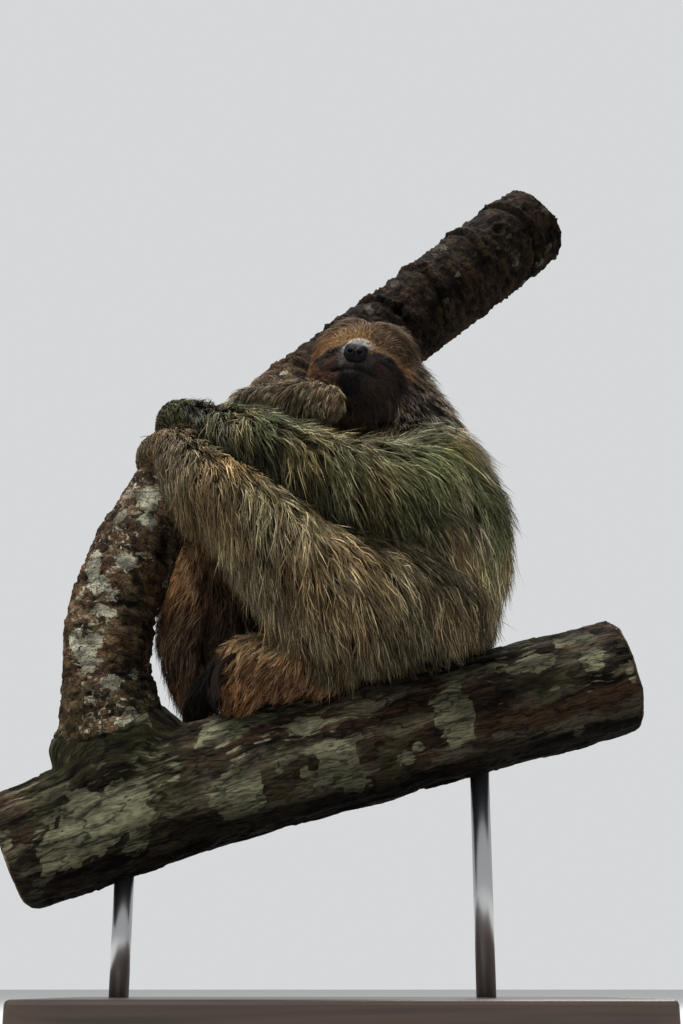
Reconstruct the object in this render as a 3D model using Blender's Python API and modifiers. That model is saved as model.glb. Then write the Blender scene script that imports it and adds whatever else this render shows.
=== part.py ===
"""A brown-throated three-toed sloth hugging the fork of a tree, on a display stand.

Life size, in metres, +Z up. The origin is on the stand's underside, below the branch. The sloth
faces -X with its left side towards -Y, and turns its head to look out over -Y. The solids
are the animal with its coat on, so they reach out to the tips of the hair.
"""

import math

import bmesh
import bpy
from mathutils import Euler, Matrix, Vector

GAP = 0.0003  # clearance left between neighbouring solids

# Perch: a cut fork of a tree, the branch that it sits on and the limb that it hugs.
BRANCH_LINE = [(-0.305, 0.0, 0.168), (-0.13, 0.0, 0.229), (0.06, 0.0, 0.279), (0.275, 0.0, 0.336)]
BRANCH_RADII = [0.059, 0.060, 0.058, 0.056]
LIMB_LINE = [
    (-0.205, 0.0, 0.225),
    (-0.2245, 0.0, 0.320),
    (-0.2265, 0.0, 0.380),
    (-0.2140, 0.005, 0.430),
    (-0.1920, 0.015, 0.486),
    (-0.156, 0.030, 0.545),
    (-0.102, 0.055, 0.600),
    (-0.013, 0.100, 0.691),
    (0.088, 0.125, 0.784),
    (0.230, 0.155, 0.915),
]
LIMB_RADII = [0.064, 0.045, 0.043, 0.0435, 0.0445, 0.045, 0.046, 0.048, 0.050, 0.050]

# Stand: a flat board and two round rods up into the branch.
BASE_SIZE = (0.54, 0.36, 0.040)
BASE_MIDDLE_Y = 0.03
BASE_EDGE = 0.004
ROD_RADIUS = 0.009
ROD_PLACES = {"left": -0.20, "right": 0.13}

# Head: a round skull with a short blunt muzzle, in its own frame (+Y the way it looks).
HEAD_CENTRE = Vector((0.024, 0.0, 0.656))
HEAD_TURN = Euler((math.radians(6), math.radians(-13), math.radians(173)))
HEAD_RADII = (0.061, 0.053, 0.055)
EYE_RADIUS = 0.0068
EYE_PLACE = (0.0285, 0.0400, -0.010)
NOSE_PLACE = (0.0005, 0.0610, -0.0165)
NOSE_RADII = (0.0120, 0.0070, 0.0095)

CLAW_RADIUS = 0.0034


def clear_scene():
    for obj in list(bpy.data.objects):
        bpy.data.objects.remove(obj)


def new_collection(name):
    collection = bpy.data.collections.new(name)
    bpy.context.scene.collection.children.link(collection)
    return collection


def new_material(name, colour, roughness, metallic=0.0):
    material = bpy.data.materials.new(name)
    material.use_nodes = True
    shader = material.node_tree.nodes["Principled BSDF"]
    shader.inputs["Base Color"].default_value = (*colour, 1.0)
    shader.inputs["Roughness"].default_value = roughness
    shader.inputs["Metallic"].default_value = metallic
    return material


def new_object(name, mesh, collection):
    obj = bpy.data.objects.new(name, mesh)
    collection.objects.link(obj)
    return obj


def evaluated_mesh(obj):
    """The object's mesh with its modifiers applied, in world space."""
    graph = bpy.context.evaluated_depsgraph_get()
    mesh = bpy.data.meshes.new_from_object(obj.evaluated_get(graph))
    mesh.transform(obj.matrix_world)
    return mesh


def apply_modifiers(obj):
    mesh = evaluated_mesh(obj)
    obj.modifiers.clear()
    obj.matrix_world = Matrix.Identity(4)
    obj.data = mesh
    return obj


def smooth_line(points, steps):
    """A Catmull-Rom line through the points, with this many steps between two of them."""
    ends = [2 * points[0] - points[1], *points, 2 * points[-1] - points[-2]]
    line = []
    for i in range(len(points) - 1):
        a, b, c, d = ends[i : i + 4]
        for k in range(steps):
            t = k / steps
            line.append(
                0.5 * (2 * b + (c - a) * t + (2 * a - 5 * b + 4 * c - d) * t**2)
                + 0.5 * (3 * b - a - 3 * c + d) * t**3
            )
    return [*line, points[-1]]


def tube(points, radii, steps=4, sides=3):
    """A mesh tube of changing radius through the points, with closed ends."""
    stations = [Vector((*p, r)) for p, r in zip(points, radii)]
    line = smooth_line(stations, steps)
    curve = bpy.data.curves.new("tube", "CURVE")
    curve.dimensions = "3D"
    curve.bevel_depth = 1.0
    curve.bevel_resolution = sides
    curve.use_fill_caps = True
    spline = curve.splines.new("POLY")
    spline.points.add(len(line) - 1)
    for point, station in zip(spline.points, line):
        point.co = (*station[:3], 1.0)
        point.radius = station[3]
    guide = new_object("guide", curve, CUTTERS)
    mesh = evaluated_mesh(guide)
    bpy.data.objects.remove(guide)
    shape = bmesh.new()
    shape.from_mesh(mesh)
    bmesh.ops.remove_doubles(shape, verts=shape.verts, dist=1e-6)
    bmesh.ops.recalc_face_normals(shape, faces=shape.faces)
    shape.to_mesh(mesh)
    shape.free()
    return mesh


def ellipsoid(centre, radii, turn=None):
    """A mesh ellipsoid, turned by an Euler where one is given."""
    shape = bmesh.new()
    bmesh.ops.create_uvsphere(shape, u_segments=24, v_segments=16, radius=1.0)
    place = Matrix.Translation(centre)
    if turn:
        place = place @ turn.to_matrix().to_4x4()
    shape.transform(place @ Matrix.Diagonal((*radii, 1.0)))
    mesh = bpy.data.meshes.new("ellipsoid")
    shape.to_mesh(mesh)
    shape.free()
    return mesh


def fuse(name, meshes, voxel, triangles, smoothing=6):
    """One soft closed body from overlapping meshes, with about this many triangles."""
    shape = bmesh.new()
    for mesh in meshes:
        shape.from_mesh(mesh)
    joined = bpy.data.meshes.new(name)
    shape.to_mesh(joined)
    shape.free()
    obj = new_object(name, joined, PARTS)
    remesh = obj.modifiers.new("remesh", "REMESH")
    remesh.mode = "VOXEL"
    remesh.voxel_size = voxel
    smooth = obj.modifiers.new("smooth", "SMOOTH")
    smooth.factor = 0.5
    smooth.iterations = smoothing
    apply_modifiers(obj)
    decimate = obj.modifiers.new("decimate", "DECIMATE")
    decimate.ratio = min(1.0, triangles / (2 * len(obj.data.polygons)))
    return keep_largest(apply_modifiers(obj))


def islands(shape):
    """The connected groups of a bmesh's faces, largest first."""
    left = set(shape.faces)
    groups = []
    while left:
        todo = [left.pop()]
        group = set(todo)
        while todo:
            for edge in todo.pop().edges:
                for face in edge.link_faces:
                    if face in left:
                        left.remove(face)
                        group.add(face)
                        todo.append(face)
        groups.append(group)
    return sorted(groups, key=len, reverse=True)


def tidy(shape):
    bmesh.ops.remove_doubles(shape, verts=shape.verts, dist=2e-5)
    bmesh.ops.dissolve_degenerate(shape, edges=shape.edges, dist=2e-5)
    bmesh.ops.triangulate(shape, faces=shape.faces)


def keep_largest(obj):
    """Drops the scraps that a cut leaves beside the main body."""
    shape = bmesh.new()
    shape.from_mesh(obj.data)
    tidy(shape)
    for group in islands(shape)[1:]:
        bmesh.ops.delete(shape, geom=list(group), context="FACES")
    shape.to_mesh(obj.data)
    shape.free()
    return obj


def grown(obj):
    """A hidden copy of the object, larger by the gap on every side, to cut with."""
    cutter = new_object(f"cut_{obj.name}", obj.data.copy(), CUTTERS)
    cutter.hide_render = True
    cutter.display_type = "WIRE"
    swell = cutter.modifiers.new("swell", "DISPLACE")
    swell.mid_level = 0.0
    swell.strength = GAP
    return apply_modifiers(cutter)


def carve(obj, *others):
    """Takes the others' room, and the gap round them, out of the object."""
    for other in others:
        cutter = grown(other)
        boolean = obj.modifiers.new("carve", "BOOLEAN")
        boolean.object = cutter
        apply_modifiers(obj)
        bpy.data.objects.remove(cutter)
        keep_largest(obj)
    return obj


def part_at(obj, names, centre, normal, radius):
    """Parts the object with a thin round cut, and names the piece on each side of it."""
    disc = bmesh.new()
    bmesh.ops.create_cone(
        disc, cap_ends=True, segments=24, radius1=radius, radius2=radius, depth=GAP
    )
    turn = Vector(normal).to_track_quat("Z", "Y").to_matrix().to_4x4()
    disc.transform(Matrix.Translation(centre) @ turn)
    mesh = bpy.data.meshes.new("disc")
    disc.to_mesh(mesh)
    disc.free()
    cutter = new_object("disc", mesh, CUTTERS)
    boolean = obj.modifiers.new("part", "BOOLEAN")
    boolean.object = cutter
    apply_modifiers(obj)
    bpy.data.objects.remove(cutter)

    shape = bmesh.new()
    shape.from_mesh(obj.data)
    tidy(shape)
    groups = islands(shape)[:2]
    sides = sorted(groups, key=lambda g: side_of(g, centre, normal))
    pieces = []
    for name, group in zip(names, sides):
        piece = bmesh.new()
        moved = {}
        for face in group:
            for vert in face.verts:
                if vert not in moved:
                    moved[vert] = piece.verts.new(vert.co)
            piece.faces.new([moved[vert] for vert in face.verts])
        mesh = bpy.data.meshes.new(name)
        piece.to_mesh(mesh)
        piece.free()
        pieces.append(new_object(name, mesh, PARTS))
    shape.free()
    bpy.data.objects.remove(obj)
    return pieces


def side_of(group, centre, normal):
    """How far the group's faces near the cut lie along its normal."""
    near = sorted(group, key=lambda f: (f.calc_center_median() - Vector(centre)).length)[:40]
    return sum((f.calc_center_median() - Vector(centre)).dot(Vector(normal)) for f in near)


def finish(obj, material):
    obj.data.materials.clear()
    obj.data.materials.append(material)
    obj.data.shade_smooth()
    return obj


# ------------------------------------------------------------------ perch and stand


def make_perch():
    branch = fuse("perch_branch", [tube(BRANCH_LINE, BRANCH_RADII, 6, 6)], 0.008, 500, 2)
    collar = ellipsoid((-0.208, 0.0, 0.262), (0.068, 0.054, 0.046))
    limb = fuse("perch_limb", [tube(LIMB_LINE, LIMB_RADII, 5, 6), collar], 0.007, 580, 2)
    return branch, carve(limb, branch)


def make_stand(branch):
    base_mesh = bpy.data.meshes.new("stand_base")
    shape = bmesh.new()
    bmesh.ops.create_cube(shape, size=1.0)
    shape.transform(Matrix.Diagonal((*BASE_SIZE, 1.0)))
    shape.to_mesh(base_mesh)
    shape.free()
    base = new_object("stand_base", base_mesh, PARTS)
    base.location = (0.0, BASE_MIDDLE_Y, BASE_SIZE[2] / 2)
    bevel = base.modifiers.new("edges", "BEVEL")
    bevel.width = BASE_EDGE
    bevel.segments = 2
    bpy.context.view_layer.update()
    apply_modifiers(base)

    rods = []
    for side, x in ROD_PLACES.items():
        top = branch_height(x)
        foot = BASE_SIZE[2] + GAP
        shape = bmesh.new()
        bmesh.ops.create_cone(
            shape, cap_ends=True, segments=16, radius1=ROD_RADIUS, radius2=ROD_RADIUS, depth=top - foot
        )
        shape.transform(Matrix.Translation((x, 0.0, (top + foot) / 2)))
        mesh = bpy.data.meshes.new("rod")
        shape.to_mesh(mesh)
        shape.free()
        rods.append(carve(new_object(f"stand_rod_{side}", mesh, PARTS), branch))
    return base, rods


def branch_height(x):
    """The height of the branch's centre line at x."""
    for (x0, _, z0), (x1, _, z1) in zip(BRANCH_LINE, BRANCH_LINE[1:]):
        if x0 <= x <= x1:
            return z0 + (z1 - z0) * (x - x0) / (x1 - x0)
    raise ValueError("x is off the branch")


# ------------------------------------------------------------------ the animal

# Each line of flesh and fur is a list of (x, y, z, radius).
TRUNK = [
    (0.070, 0.0, 0.387, 0.086),
    (0.073, 0.0, 0.450, 0.101),
    (0.076, 0.0, 0.500, 0.098),
    (0.079, 0.0, 0.545, 0.073),
    (0.078, 0.0, 0.578, 0.046),
]
RUMP = ((0.071, 0.0, 0.387), (0.086, 0.100, 0.062))
SHOULDERS = ((0.076, 0.006, 0.546), (0.054, 0.080, 0.045))
TRUNK_FLATTEN = 0.94
NECK = [(0.084, 0.0, 0.570, 0.049), (0.064, 0.004, 0.612, 0.043), (0.042, 0.004, 0.650, 0.042)]
TAIL = [(0.120, 0.030, 0.385, 0.022), (0.138, 0.056, 0.371, 0.019), (0.146, 0.070, 0.360, 0.012)]

HAND_HEIGHT = 0.562  # where on the limb the left hand hooks
FOOT_HEIGHT = 0.537  # where on the limb the left foot hooks

ARM_LEFT = [
    (0.105, -0.030, 0.535, 0.046),
    (0.066, -0.066, 0.500, 0.050),
    (0.010, -0.085, 0.486, 0.056),
    (-0.039, -0.090, 0.506, 0.044),
    (-0.080, -0.083, 0.540, 0.030),
]
HAND_WRAP = [(5, 0.069, 0.0230), (55, 0.0635, 0.0205), (95, 0.057, 0.017), (125, 0.054, 0.011)]
ARM_LEFT_CUTS = [((-0.020, -0.089, 0.500), (-0.85, 0.0, 0.45)), ((-0.118, -0.050, 0.578), (-0.7, 0.5, 0.5))]

LEG_LEFT = [
    (0.078, -0.040, 0.388, 0.060),
    (0.022, -0.062, 0.384, 0.065),
    (-0.027, -0.070, 0.394, 0.062),
    (-0.067, -0.075, 0.430, 0.054),
    (-0.103, -0.070, 0.473, 0.047),
    (-0.134, -0.060, 0.508, 0.036),
]
FOOT_WRAP = [(10, 0.060, 0.025), (45, 0.050, 0.018), (80, 0.0455, 0.0150), (112, 0.049, 0.011)]
LEG_LEFT_CUTS = [((-0.062, -0.074, 0.425), (-0.75, 0.0, 0.66)), ((-0.148, -0.050, 0.530), (-0.6, 0.45, 0.65))]

# The fur that sags from the near thigh to the branch, and the fold of the far one: centre, radii.
THIGH_SAG = ((-0.020, -0.045, 0.346), (0.039, 0.032, 0.038))
THIGH_FOLD = ((-0.106, 0.038, 0.402), (0.030, 0.026, 0.042))

ARM_RIGHT_UPPER = [
    (0.078, 0.048, 0.560, 0.042),
    (0.020, 0.042, 0.578, 0.034),
    (-0.040, 0.010, 0.590, 0.024),
    (-0.085, -0.018, 0.600, 0.019),
]
ARM_RIGHT_FORE = [
    (-0.098, -0.036, 0.606, 0.0135),
    (-0.066, -0.046, 0.602, 0.019),
    (-0.034, -0.054, 0.597, 0.0235),
    (-0.016, -0.057, 0.593, 0.0240),
]
ARM_RIGHT_WRIST = ((-0.041, -0.053, 0.598), (1.0, -0.15, -0.15))

LEG_RIGHT_THIGH = [
    (0.065, 0.044, 0.390, 0.060),
    (0.005, 0.058, 0.396, 0.060),
    (-0.055, 0.060, 0.418, 0.051),
    (-0.112, 0.048, 0.441, 0.038),
    (-0.147, 0.032, 0.450, 0.027),
]
LEG_RIGHT_SHANK = [
    (-0.152, 0.030, 0.448, 0.025),
    (-0.156, 0.030, 0.410, 0.028),
    (-0.154, 0.030, 0.366, 0.027),
    (-0.143, 0.028, 0.320, 0.022),
    (-0.138, 0.024, 0.304, 0.020),
]
FOOT_RIGHT = [
    (-0.140, 0.022, 0.306, 0.018),
    (-0.118, 0.002, 0.322, 0.021),
    (-0.086, -0.026, 0.330, 0.032),
    (-0.060, -0.038, 0.326, 0.029),
]

TOES_RIGHT = ((-0.094, -0.044, 0.308), (0.022, 0.020, 0.020))

CLAW_SPREAD = 0.0125


def along(line, height):
    """The point and direction of a perch line where it reaches the height."""
    points = smooth_line([Vector(p) for p in line], 8)
    for a, b in zip(points, points[1:]):
        if a.z <= height <= b.z:
            return a.lerp(b, (height - a.z) / (b.z - a.z)), (b - a).normalized()
    raise ValueError("the line does not reach the height")


def round_limb(height, angle, reach, shift=0.0):
    """A point beside the limb: the angle starts on the near side and goes over the top."""
    point, axis = along(LIMB_LINE, height)
    near = Vector((0.0, -1.0, 0.0))
    near = (near - near.dot(axis) * axis).normalized()
    over = near.cross(axis)
    turn = math.radians(angle)
    return point + axis * shift + reach * (math.cos(turn) * near + math.sin(turn) * over)


def wrapped(height, wrap):
    """Stations of a hand or foot hooked round the limb."""
    return [(*round_limb(height, angle, reach), radius) for angle, reach, radius in wrap]


def body_tube(stations, steps=4, sides=4):
    """A tube through (x, y, z, radius) stations, with a ball closing each end."""
    points = [s[:3] for s in stations]
    radii = [s[3] for s in stations]
    ends = [ellipsoid(p, (r * 0.98,) * 3) for p, r in ((points[0], radii[0]), (points[-1], radii[-1]))]
    return [tube(points, radii, steps, sides), *ends]


def claw(name, points):
    """A curved horn tapering to a point, rounded at its root."""
    count = len(points) - 1
    radii = [CLAW_RADIUS * (1.0 - 0.72 * (i / count) ** 1.4) for i in range(count + 1)]
    mesh = tube(points, radii, 2, 1)
    return finish(new_object(name, mesh, PARTS), CLAW_HORN)


def limb_claws(name, height, start):
    """Three claws side by side that carry on round the limb from the hand or foot."""
    claws = []
    for i, shift in enumerate((-CLAW_SPREAD, 0.0, CLAW_SPREAD)):
        lag = 6 * abs(i - 1)
        arc = [(start, 0.0555), (start + 24, 0.0560), (start + 50, 0.0545), (start + 74 - lag, 0.0505)]
        points = [round_limb(height, angle, reach, shift) for angle, reach in arc]
        claws.append(claw(f"claw_{name}_{i + 1}", points))
    return claws


def head_point(place):
    """A point of the head's own frame, in the world."""
    return HEAD_CENTRE + HEAD_TURN.to_matrix() @ Vector(place)


def head_ball(place, radii):
    return ellipsoid(head_point(place), radii, HEAD_TURN)


def make_head():
    wide, deep, high = HEAD_RADII
    balls = [
        head_ball((0.0, -0.004, 0.000), (wide, deep, high)),
        head_ball((0.0, -0.010, 0.012), (wide * 0.93, deep * 0.90, high * 0.84)),
        head_ball((0.0, 0.012, -0.016), (wide * 0.80, deep * 0.76, high * 0.72)),
        head_ball((0.0, 0.042, -0.022), (0.021, 0.021, 0.016)),
        head_ball((0.0, 0.030, -0.030), (0.027, 0.024, 0.016)),
        head_ball((0.026, 0.016, -0.018), (0.026, 0.028, 0.030)),
        head_ball((-0.026, 0.016, -0.018), (0.026, 0.028, 0.030)),
    ]
    return finish(fuse("head", balls, 0.0042, 520, 5), COAT_FACE)


def make_features(head):
    nose = finish(new_object("nose", head_ball(NOSE_PLACE, NOSE_RADII), PARTS), NOSE_SKIN)
    eyes = []
    for side, sign in (("left", -1), ("right", 1)):
        x, y, z = EYE_PLACE
        ball = ellipsoid(head_point((sign * x, y, z)), (EYE_RADIUS,) * 3, HEAD_TURN)
        eyes.append(finish(new_object(f"eye_{side}", ball, PARTS), EYE_BALL))
    for obj in (nose, *eyes):
        decimate = obj.modifiers.new("decimate", "DECIMATE")
        decimate.ratio = 0.13
        apply_modifiers(obj)
    carve(head, nose, *eyes)
    return nose, eyes


def make_trunk(branch, limb):
    points = [s[:3] for s in TRUNK]
    radii = [s[3] for s in TRUNK]
    top = ellipsoid(points[-1], (radii[-1],) * 3)
    meshes = [tube(points, radii, 4, 6), ellipsoid(*RUMP), ellipsoid(*SHOULDERS), top]
    for mesh in meshes:
        mesh.transform(Matrix.Diagonal((1.0, TRUNK_FLATTEN, 1.0, 1.0)))
    trunk = fuse("trunk", meshes, 0.009, 520, 5)
    return finish(carve(trunk, branch, limb), COAT_BODY)


def make_animal(branch, limb):
    perch = (branch, limb)
    trunk = make_trunk(branch, limb)

    claws_foot_left = limb_claws("foot_left", FOOT_HEIGHT, 112)
    leg_line = LEG_LEFT + wrapped(FOOT_HEIGHT, FOOT_WRAP)
    leg = fuse("leg_left", [*body_tube(leg_line), ellipsoid(*THIGH_SAG)], 0.006, 520, 4)
    carve(leg, *perch, trunk, *claws_foot_left)
    thigh_and_rest = part_at(leg, ("leg_left_thigh", "rest"), *LEG_LEFT_CUTS[0], 0.10)
    shank_and_foot = part_at(
        thigh_and_rest[1], ("leg_left_shank", "foot_left"), *LEG_LEFT_CUTS[1], 0.055
    )
    leg_left = [thigh_and_rest[0], *shank_and_foot]

    claws_hand_left = limb_claws("hand_left", HAND_HEIGHT, 116)
    arm = fuse("arm_left", body_tube(ARM_LEFT + wrapped(HAND_HEIGHT, HAND_WRAP)), 0.006, 540, 4)
    carve(arm, *perch, trunk, *leg_left, *claws_hand_left)
    upper_and_rest = part_at(arm, ("arm_left_upper", "rest"), *ARM_LEFT_CUTS[0], 0.085)
    fore_and_hand = part_at(upper_and_rest[1], ("arm_left_fore", "hand_left"), *ARM_LEFT_CUTS[1], 0.050)
    arm_left = [upper_and_rest[0], *fore_and_hand]

    claws_hand_right = []
    for i, shift in enumerate((-0.009, 0.0, 0.009)):
        points = [
            (-0.016, -0.038, 0.590 + shift),
            (-0.011, -0.024, 0.588 + shift),
            (-0.021, -0.014, 0.585 + shift),
            (-0.038, -0.014, 0.584 + shift),
        ]
        claws_hand_right.append(claw(f"claw_hand_right_{i + 1}", points))
    fore = fuse("arm_right", body_tube(ARM_RIGHT_FORE), 0.005, 240, 3)
    carve(fore, limb, *arm_left, *claws_hand_right)
    arm_right = part_at(fore, ("arm_right_fore", "hand_right"), *ARM_RIGHT_WRIST, 0.04)

    head = make_head()
    carve(head, limb, trunk, *arm_right, *arm_left)
    nose, eyes = make_features(head)
    upper = fuse("arm_right_upper", body_tube(ARM_RIGHT_UPPER), 0.006, 220, 3)
    carve(upper, limb, trunk, head, *arm_right, *arm_left, *claws_hand_right)
    neck = fuse("neck", body_tube(NECK), 0.006, 150, 4)
    carve(neck, limb, trunk, head, *arm_left, *arm_right, upper, *claws_hand_right)

    claws_foot_right = []
    for i, shift in enumerate((0.0, 0.010, 0.020)):
        points = [
            (-0.104 + 0.3 * shift, -0.034 - shift, 0.342),
            (-0.116 + 0.3 * shift, -0.041 - shift, 0.333),
            (-0.120 + 0.3 * shift, -0.048 - shift, 0.316),
            (-0.116 + 0.3 * shift, -0.054 - shift, 0.297),
        ]
        claws_foot_right.append(claw(f"claw_foot_right_{i + 1}", points))
    toes = ellipsoid(*TOES_RIGHT)
    foot = fuse("foot_right", [*body_tube(FOOT_RIGHT), toes], 0.006, 260, 3)
    carve(foot, *perch, *claws_foot_right, trunk, *leg_left)
    shank = fuse("leg_right_shank", body_tube(LEG_RIGHT_SHANK), 0.006, 260, 3)
    carve(shank, *perch, foot, *leg_left, trunk)
    thigh = fuse("leg_right_thigh", [*body_tube(LEG_RIGHT_THIGH), ellipsoid(*THIGH_FOLD)], 0.007, 220, 3)
    carve(thigh, *perch, trunk, shank, foot, *leg_left, *arm_left)

    tail = fuse("tail", body_tube(TAIL), 0.005, 120, 3)
    carve(tail, branch, trunk, *leg_left)

    for obj in (neck, tail, *leg_left[:2], *arm_left[:2], arm_right[0], upper, shank, thigh):
        finish(obj, COAT_BODY)
    for obj in (leg_left[2], arm_left[2], arm_right[1], foot):
        finish(obj, COAT_PAW)


def main():
    branch, limb = make_perch()
    base, rods = make_stand(branch)
    make_animal(branch, limb)
    for obj in (branch, limb):
        finish(obj, BARK)
    for rod in rods:
        finish(rod, STEEL)
    finish(base, BOARD)
    for obj in list(CUTTERS.objects):
        bpy.data.objects.remove(obj)


clear_scene()
PARTS = new_collection("three_toed_sloth")
CUTTERS = new_collection("cutters")
COAT_BODY = new_material("coat_body", (0.20, 0.17, 0.11), 0.9)
COAT_FACE = new_material("coat_face", (0.30, 0.20, 0.11), 0.9)
COAT_PAW = new_material("coat_paw", (0.24, 0.16, 0.09), 0.9)
NOSE_SKIN = new_material("nose_skin", (0.02, 0.018, 0.018), 0.45)
EYE_BALL = new_material("eye_ball", (0.02, 0.012, 0.008), 0.1)
CLAW_HORN = new_material("claw_horn", (0.36, 0.30, 0.20), 0.4)
BARK = new_material("bark", (0.10, 0.08, 0.06), 0.95)
STEEL = new_material("steel", (0.45, 0.45, 0.46), 0.3, 1.0)
BOARD = new_material("board", (0.12, 0.07, 0.04), 0.5)
main()
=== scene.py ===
"""The looks of a three-toed sloth on its perch and display stand: skin, coat, bark, light, camera.

Metres, +Z up. The head has a frame of its own, in millimetres: x to the animal's right, y the
way it looks, z to its crown. A ramp whose limits fall is 1 at the second limit.
"""

import math

import bmesh
import bpy
import numpy as np
from mathutils import Euler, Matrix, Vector
from mathutils.bvhtree import BVHTree


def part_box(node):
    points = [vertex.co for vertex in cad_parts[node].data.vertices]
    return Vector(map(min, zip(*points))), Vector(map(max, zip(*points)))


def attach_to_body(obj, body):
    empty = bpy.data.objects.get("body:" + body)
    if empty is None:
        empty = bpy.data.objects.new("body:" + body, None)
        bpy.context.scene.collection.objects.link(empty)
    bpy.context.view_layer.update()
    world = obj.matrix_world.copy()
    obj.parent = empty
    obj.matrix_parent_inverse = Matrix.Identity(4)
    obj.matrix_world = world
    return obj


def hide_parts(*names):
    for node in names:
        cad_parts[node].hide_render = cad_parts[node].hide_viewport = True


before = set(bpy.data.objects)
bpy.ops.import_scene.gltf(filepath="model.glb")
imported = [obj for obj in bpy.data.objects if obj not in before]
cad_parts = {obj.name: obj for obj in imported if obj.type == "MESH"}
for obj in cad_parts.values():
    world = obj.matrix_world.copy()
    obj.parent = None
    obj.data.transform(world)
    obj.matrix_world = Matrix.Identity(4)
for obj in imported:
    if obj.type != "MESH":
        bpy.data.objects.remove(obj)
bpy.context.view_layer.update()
RNG = np.random.default_rng(11)
DOWN = np.array([0.0, 0.0, -1.0])
NEAR_SIDE = np.array([0.0, -1.0, 0.0])

# ---- the body's lines

HEAD_CENTRE = np.array([0.024, 0.0, 0.656])
HEAD_TURN = np.array(Euler((math.radians(6), math.radians(-13), math.radians(173))).to_matrix())

# The perch's two lines, as (x, y, z, radius) in millimetres.
LIMB = np.array([
    (-205, 0, 225, 64), (-224.5, 0, 320, 45), (-226.5, 0, 380, 43),
    (-214, 5, 430, 43.5), (-192, 15, 486, 44.5), (-156, 30, 545, 45),
    (-102, 55, 600, 46), (-13, 100, 691, 48), (88, 125, 784, 50),
    (230, 155, 915, 50),
]) / 1000
BRANCH = np.array([
    (-305, 0, 168, 59), (-130, 0, 229, 60),
    (60, 0, 279, 58), (275, 0, 336, 56),
]) / 1000


def smooth_line(points, steps):
    """A Catmull-Rom line through rows of numbers."""
    p = np.asarray(points, float)
    p = np.vstack([2 * p[0] - p[1], p, 2 * p[-1] - p[-2]])
    rows = []
    for a, b, c, d in zip(p, p[1:], p[2:], p[3:]):
        for t in np.arange(steps) / steps:
            flat = 2 * b + (c - a) * t + (2 * a - 5 * b + 4 * c - d) * t**2
            rows.append(0.5 * flat + 0.5 * (3 * b - a - 3 * c + d) * t**3)
    return np.array([*rows, p[-2]])


def unit(v):
    """The rows of v at length one."""
    return v / np.maximum(np.linalg.norm(v, axis=-1, keepdims=True), 1e-9)


def size_of(v):
    """The length of each row of v."""
    return np.linalg.norm(v, axis=-1)


def round_limb(height, angle, reach):
    """A point beside the limb: the angle starts on the near side and goes over the top."""
    line = smooth_line(LIMB, 8)[:, :3]
    i = int(np.searchsorted(line[:, 2], height)) - 1
    a, b = line[i], line[i + 1]
    point = a + (b - a) * (height - a[2]) / (b[2] - a[2])
    axis = unit(b - a)
    near = unit(NEAR_SIDE - NEAR_SIDE @ axis * axis)
    turn = math.radians(angle)
    return point + reach * (math.cos(turn) * near + math.sin(turn) * np.cross(near, axis))


# The flesh under the coat, from the body outwards, as (x, y, z, radius) in millimetres.
FLESH = {
    "trunk": [(70, 0, 390, 70), (73, 0, 450, 85), (76, 0, 500, 81), (79, 0, 545, 59), (78, 0, 577, 34)],
    "neck": [(83, 0, 568, 39), (64, 4, 612, 34), (44, 4, 648, 34)],
    "arm_left": [
        (100, -28, 535, 34), (66, -63, 504, 36), (10, -82, 500, 35), (-39, -87, 518, 27),
        (-80, -82, 544, 21),
    ],
    "leg_left": [
        (78, -38, 394, 46), (22, -59, 394, 49), (-24, -70, 410, 46), (-63, -77, 445, 40),
        (-100, -73, 485, 33), (-134, -59, 512, 26),
    ],
    "arm_right": [(78, 46, 562, 30), (20, 42, 581, 24), (-40, 10, 592, 16.5), (-88, -22, 603, 12.5)],
    "fore_right": [(-97, -34, 606, 9.5), (-66, -45, 603, 14), (-34, -54, 598, 17.5), (-17, -57, 594, 18)],
    "leg_right": [
        (65, 42, 393, 46), (5, 56, 401, 45), (-55, 58, 423, 37), (-112, 46, 450, 28),
        (-146, 26, 462, 22),
    ],
    "shank_right": [
        (-150, 22, 458, 23), (-157, 26, 412, 23), (-157, 30, 366, 20), (-143, 28, 320, 14),
        (-138, 24, 306, 13),
    ],
    "foot_right": [(-139, 22, 308, 13), (-118, 2, 322, 16), (-86, -28, 335, 28), (-58, -36, 327, 23)],
    "tail": [(117, 28, 390, 14), (136, 54, 375, 13), (143, 67, 365, 7)],
}
FLESH = {name: np.array(rows) / 1000 for name, rows in FLESH.items()}
# The hooked hand and foot: the height, then (angle round the limb, reach, radius).
HOOKS = {
    "arm_left": (0.562, (5, 66, 17), (55, 61, 15.5), (95, 56, 13), (124, 54, 9.5)),
    "leg_left": (0.537, (10, 58.5, 20), (45, 50, 15.5), (80, 46, 12.8), (112, 49, 9.5)),
}
for name, (height, *wrap) in HOOKS.items():
    stations = [(*round_limb(height, angle, reach / 1000), radius / 1000) for angle, reach, radius in wrap]
    FLESH[name] = np.vstack([FLESH[name], stations])
TRUNK_FLATNESS = 0.94
SKIN_VOXEL, BARK_VOXEL = 0.0032, 0.0025
REGIONS = [*FLESH, "head"]

# Round forms added to the flesh, as (centre, radii) in millimetres.
FORMS = {
    "rump": ((71, 0, 390), (71, 84, 47)),
    "shoulders": ((76, 6, 546), (42, 67, 34)),
    "toes_right": ((-98, -42, 308), (21, 15, 16)),
    "thigh_sag": ((-25, -44, 345), (37, 26, 34)),
    "thigh_fold": ((-112, 39, 392), (26, 20, 46)),
    "collar": ((14, -42, 570), (24, 15, 12)),
}
FORMS = {name: np.array(form) / 1000 for name, form in FORMS.items()}

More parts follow.
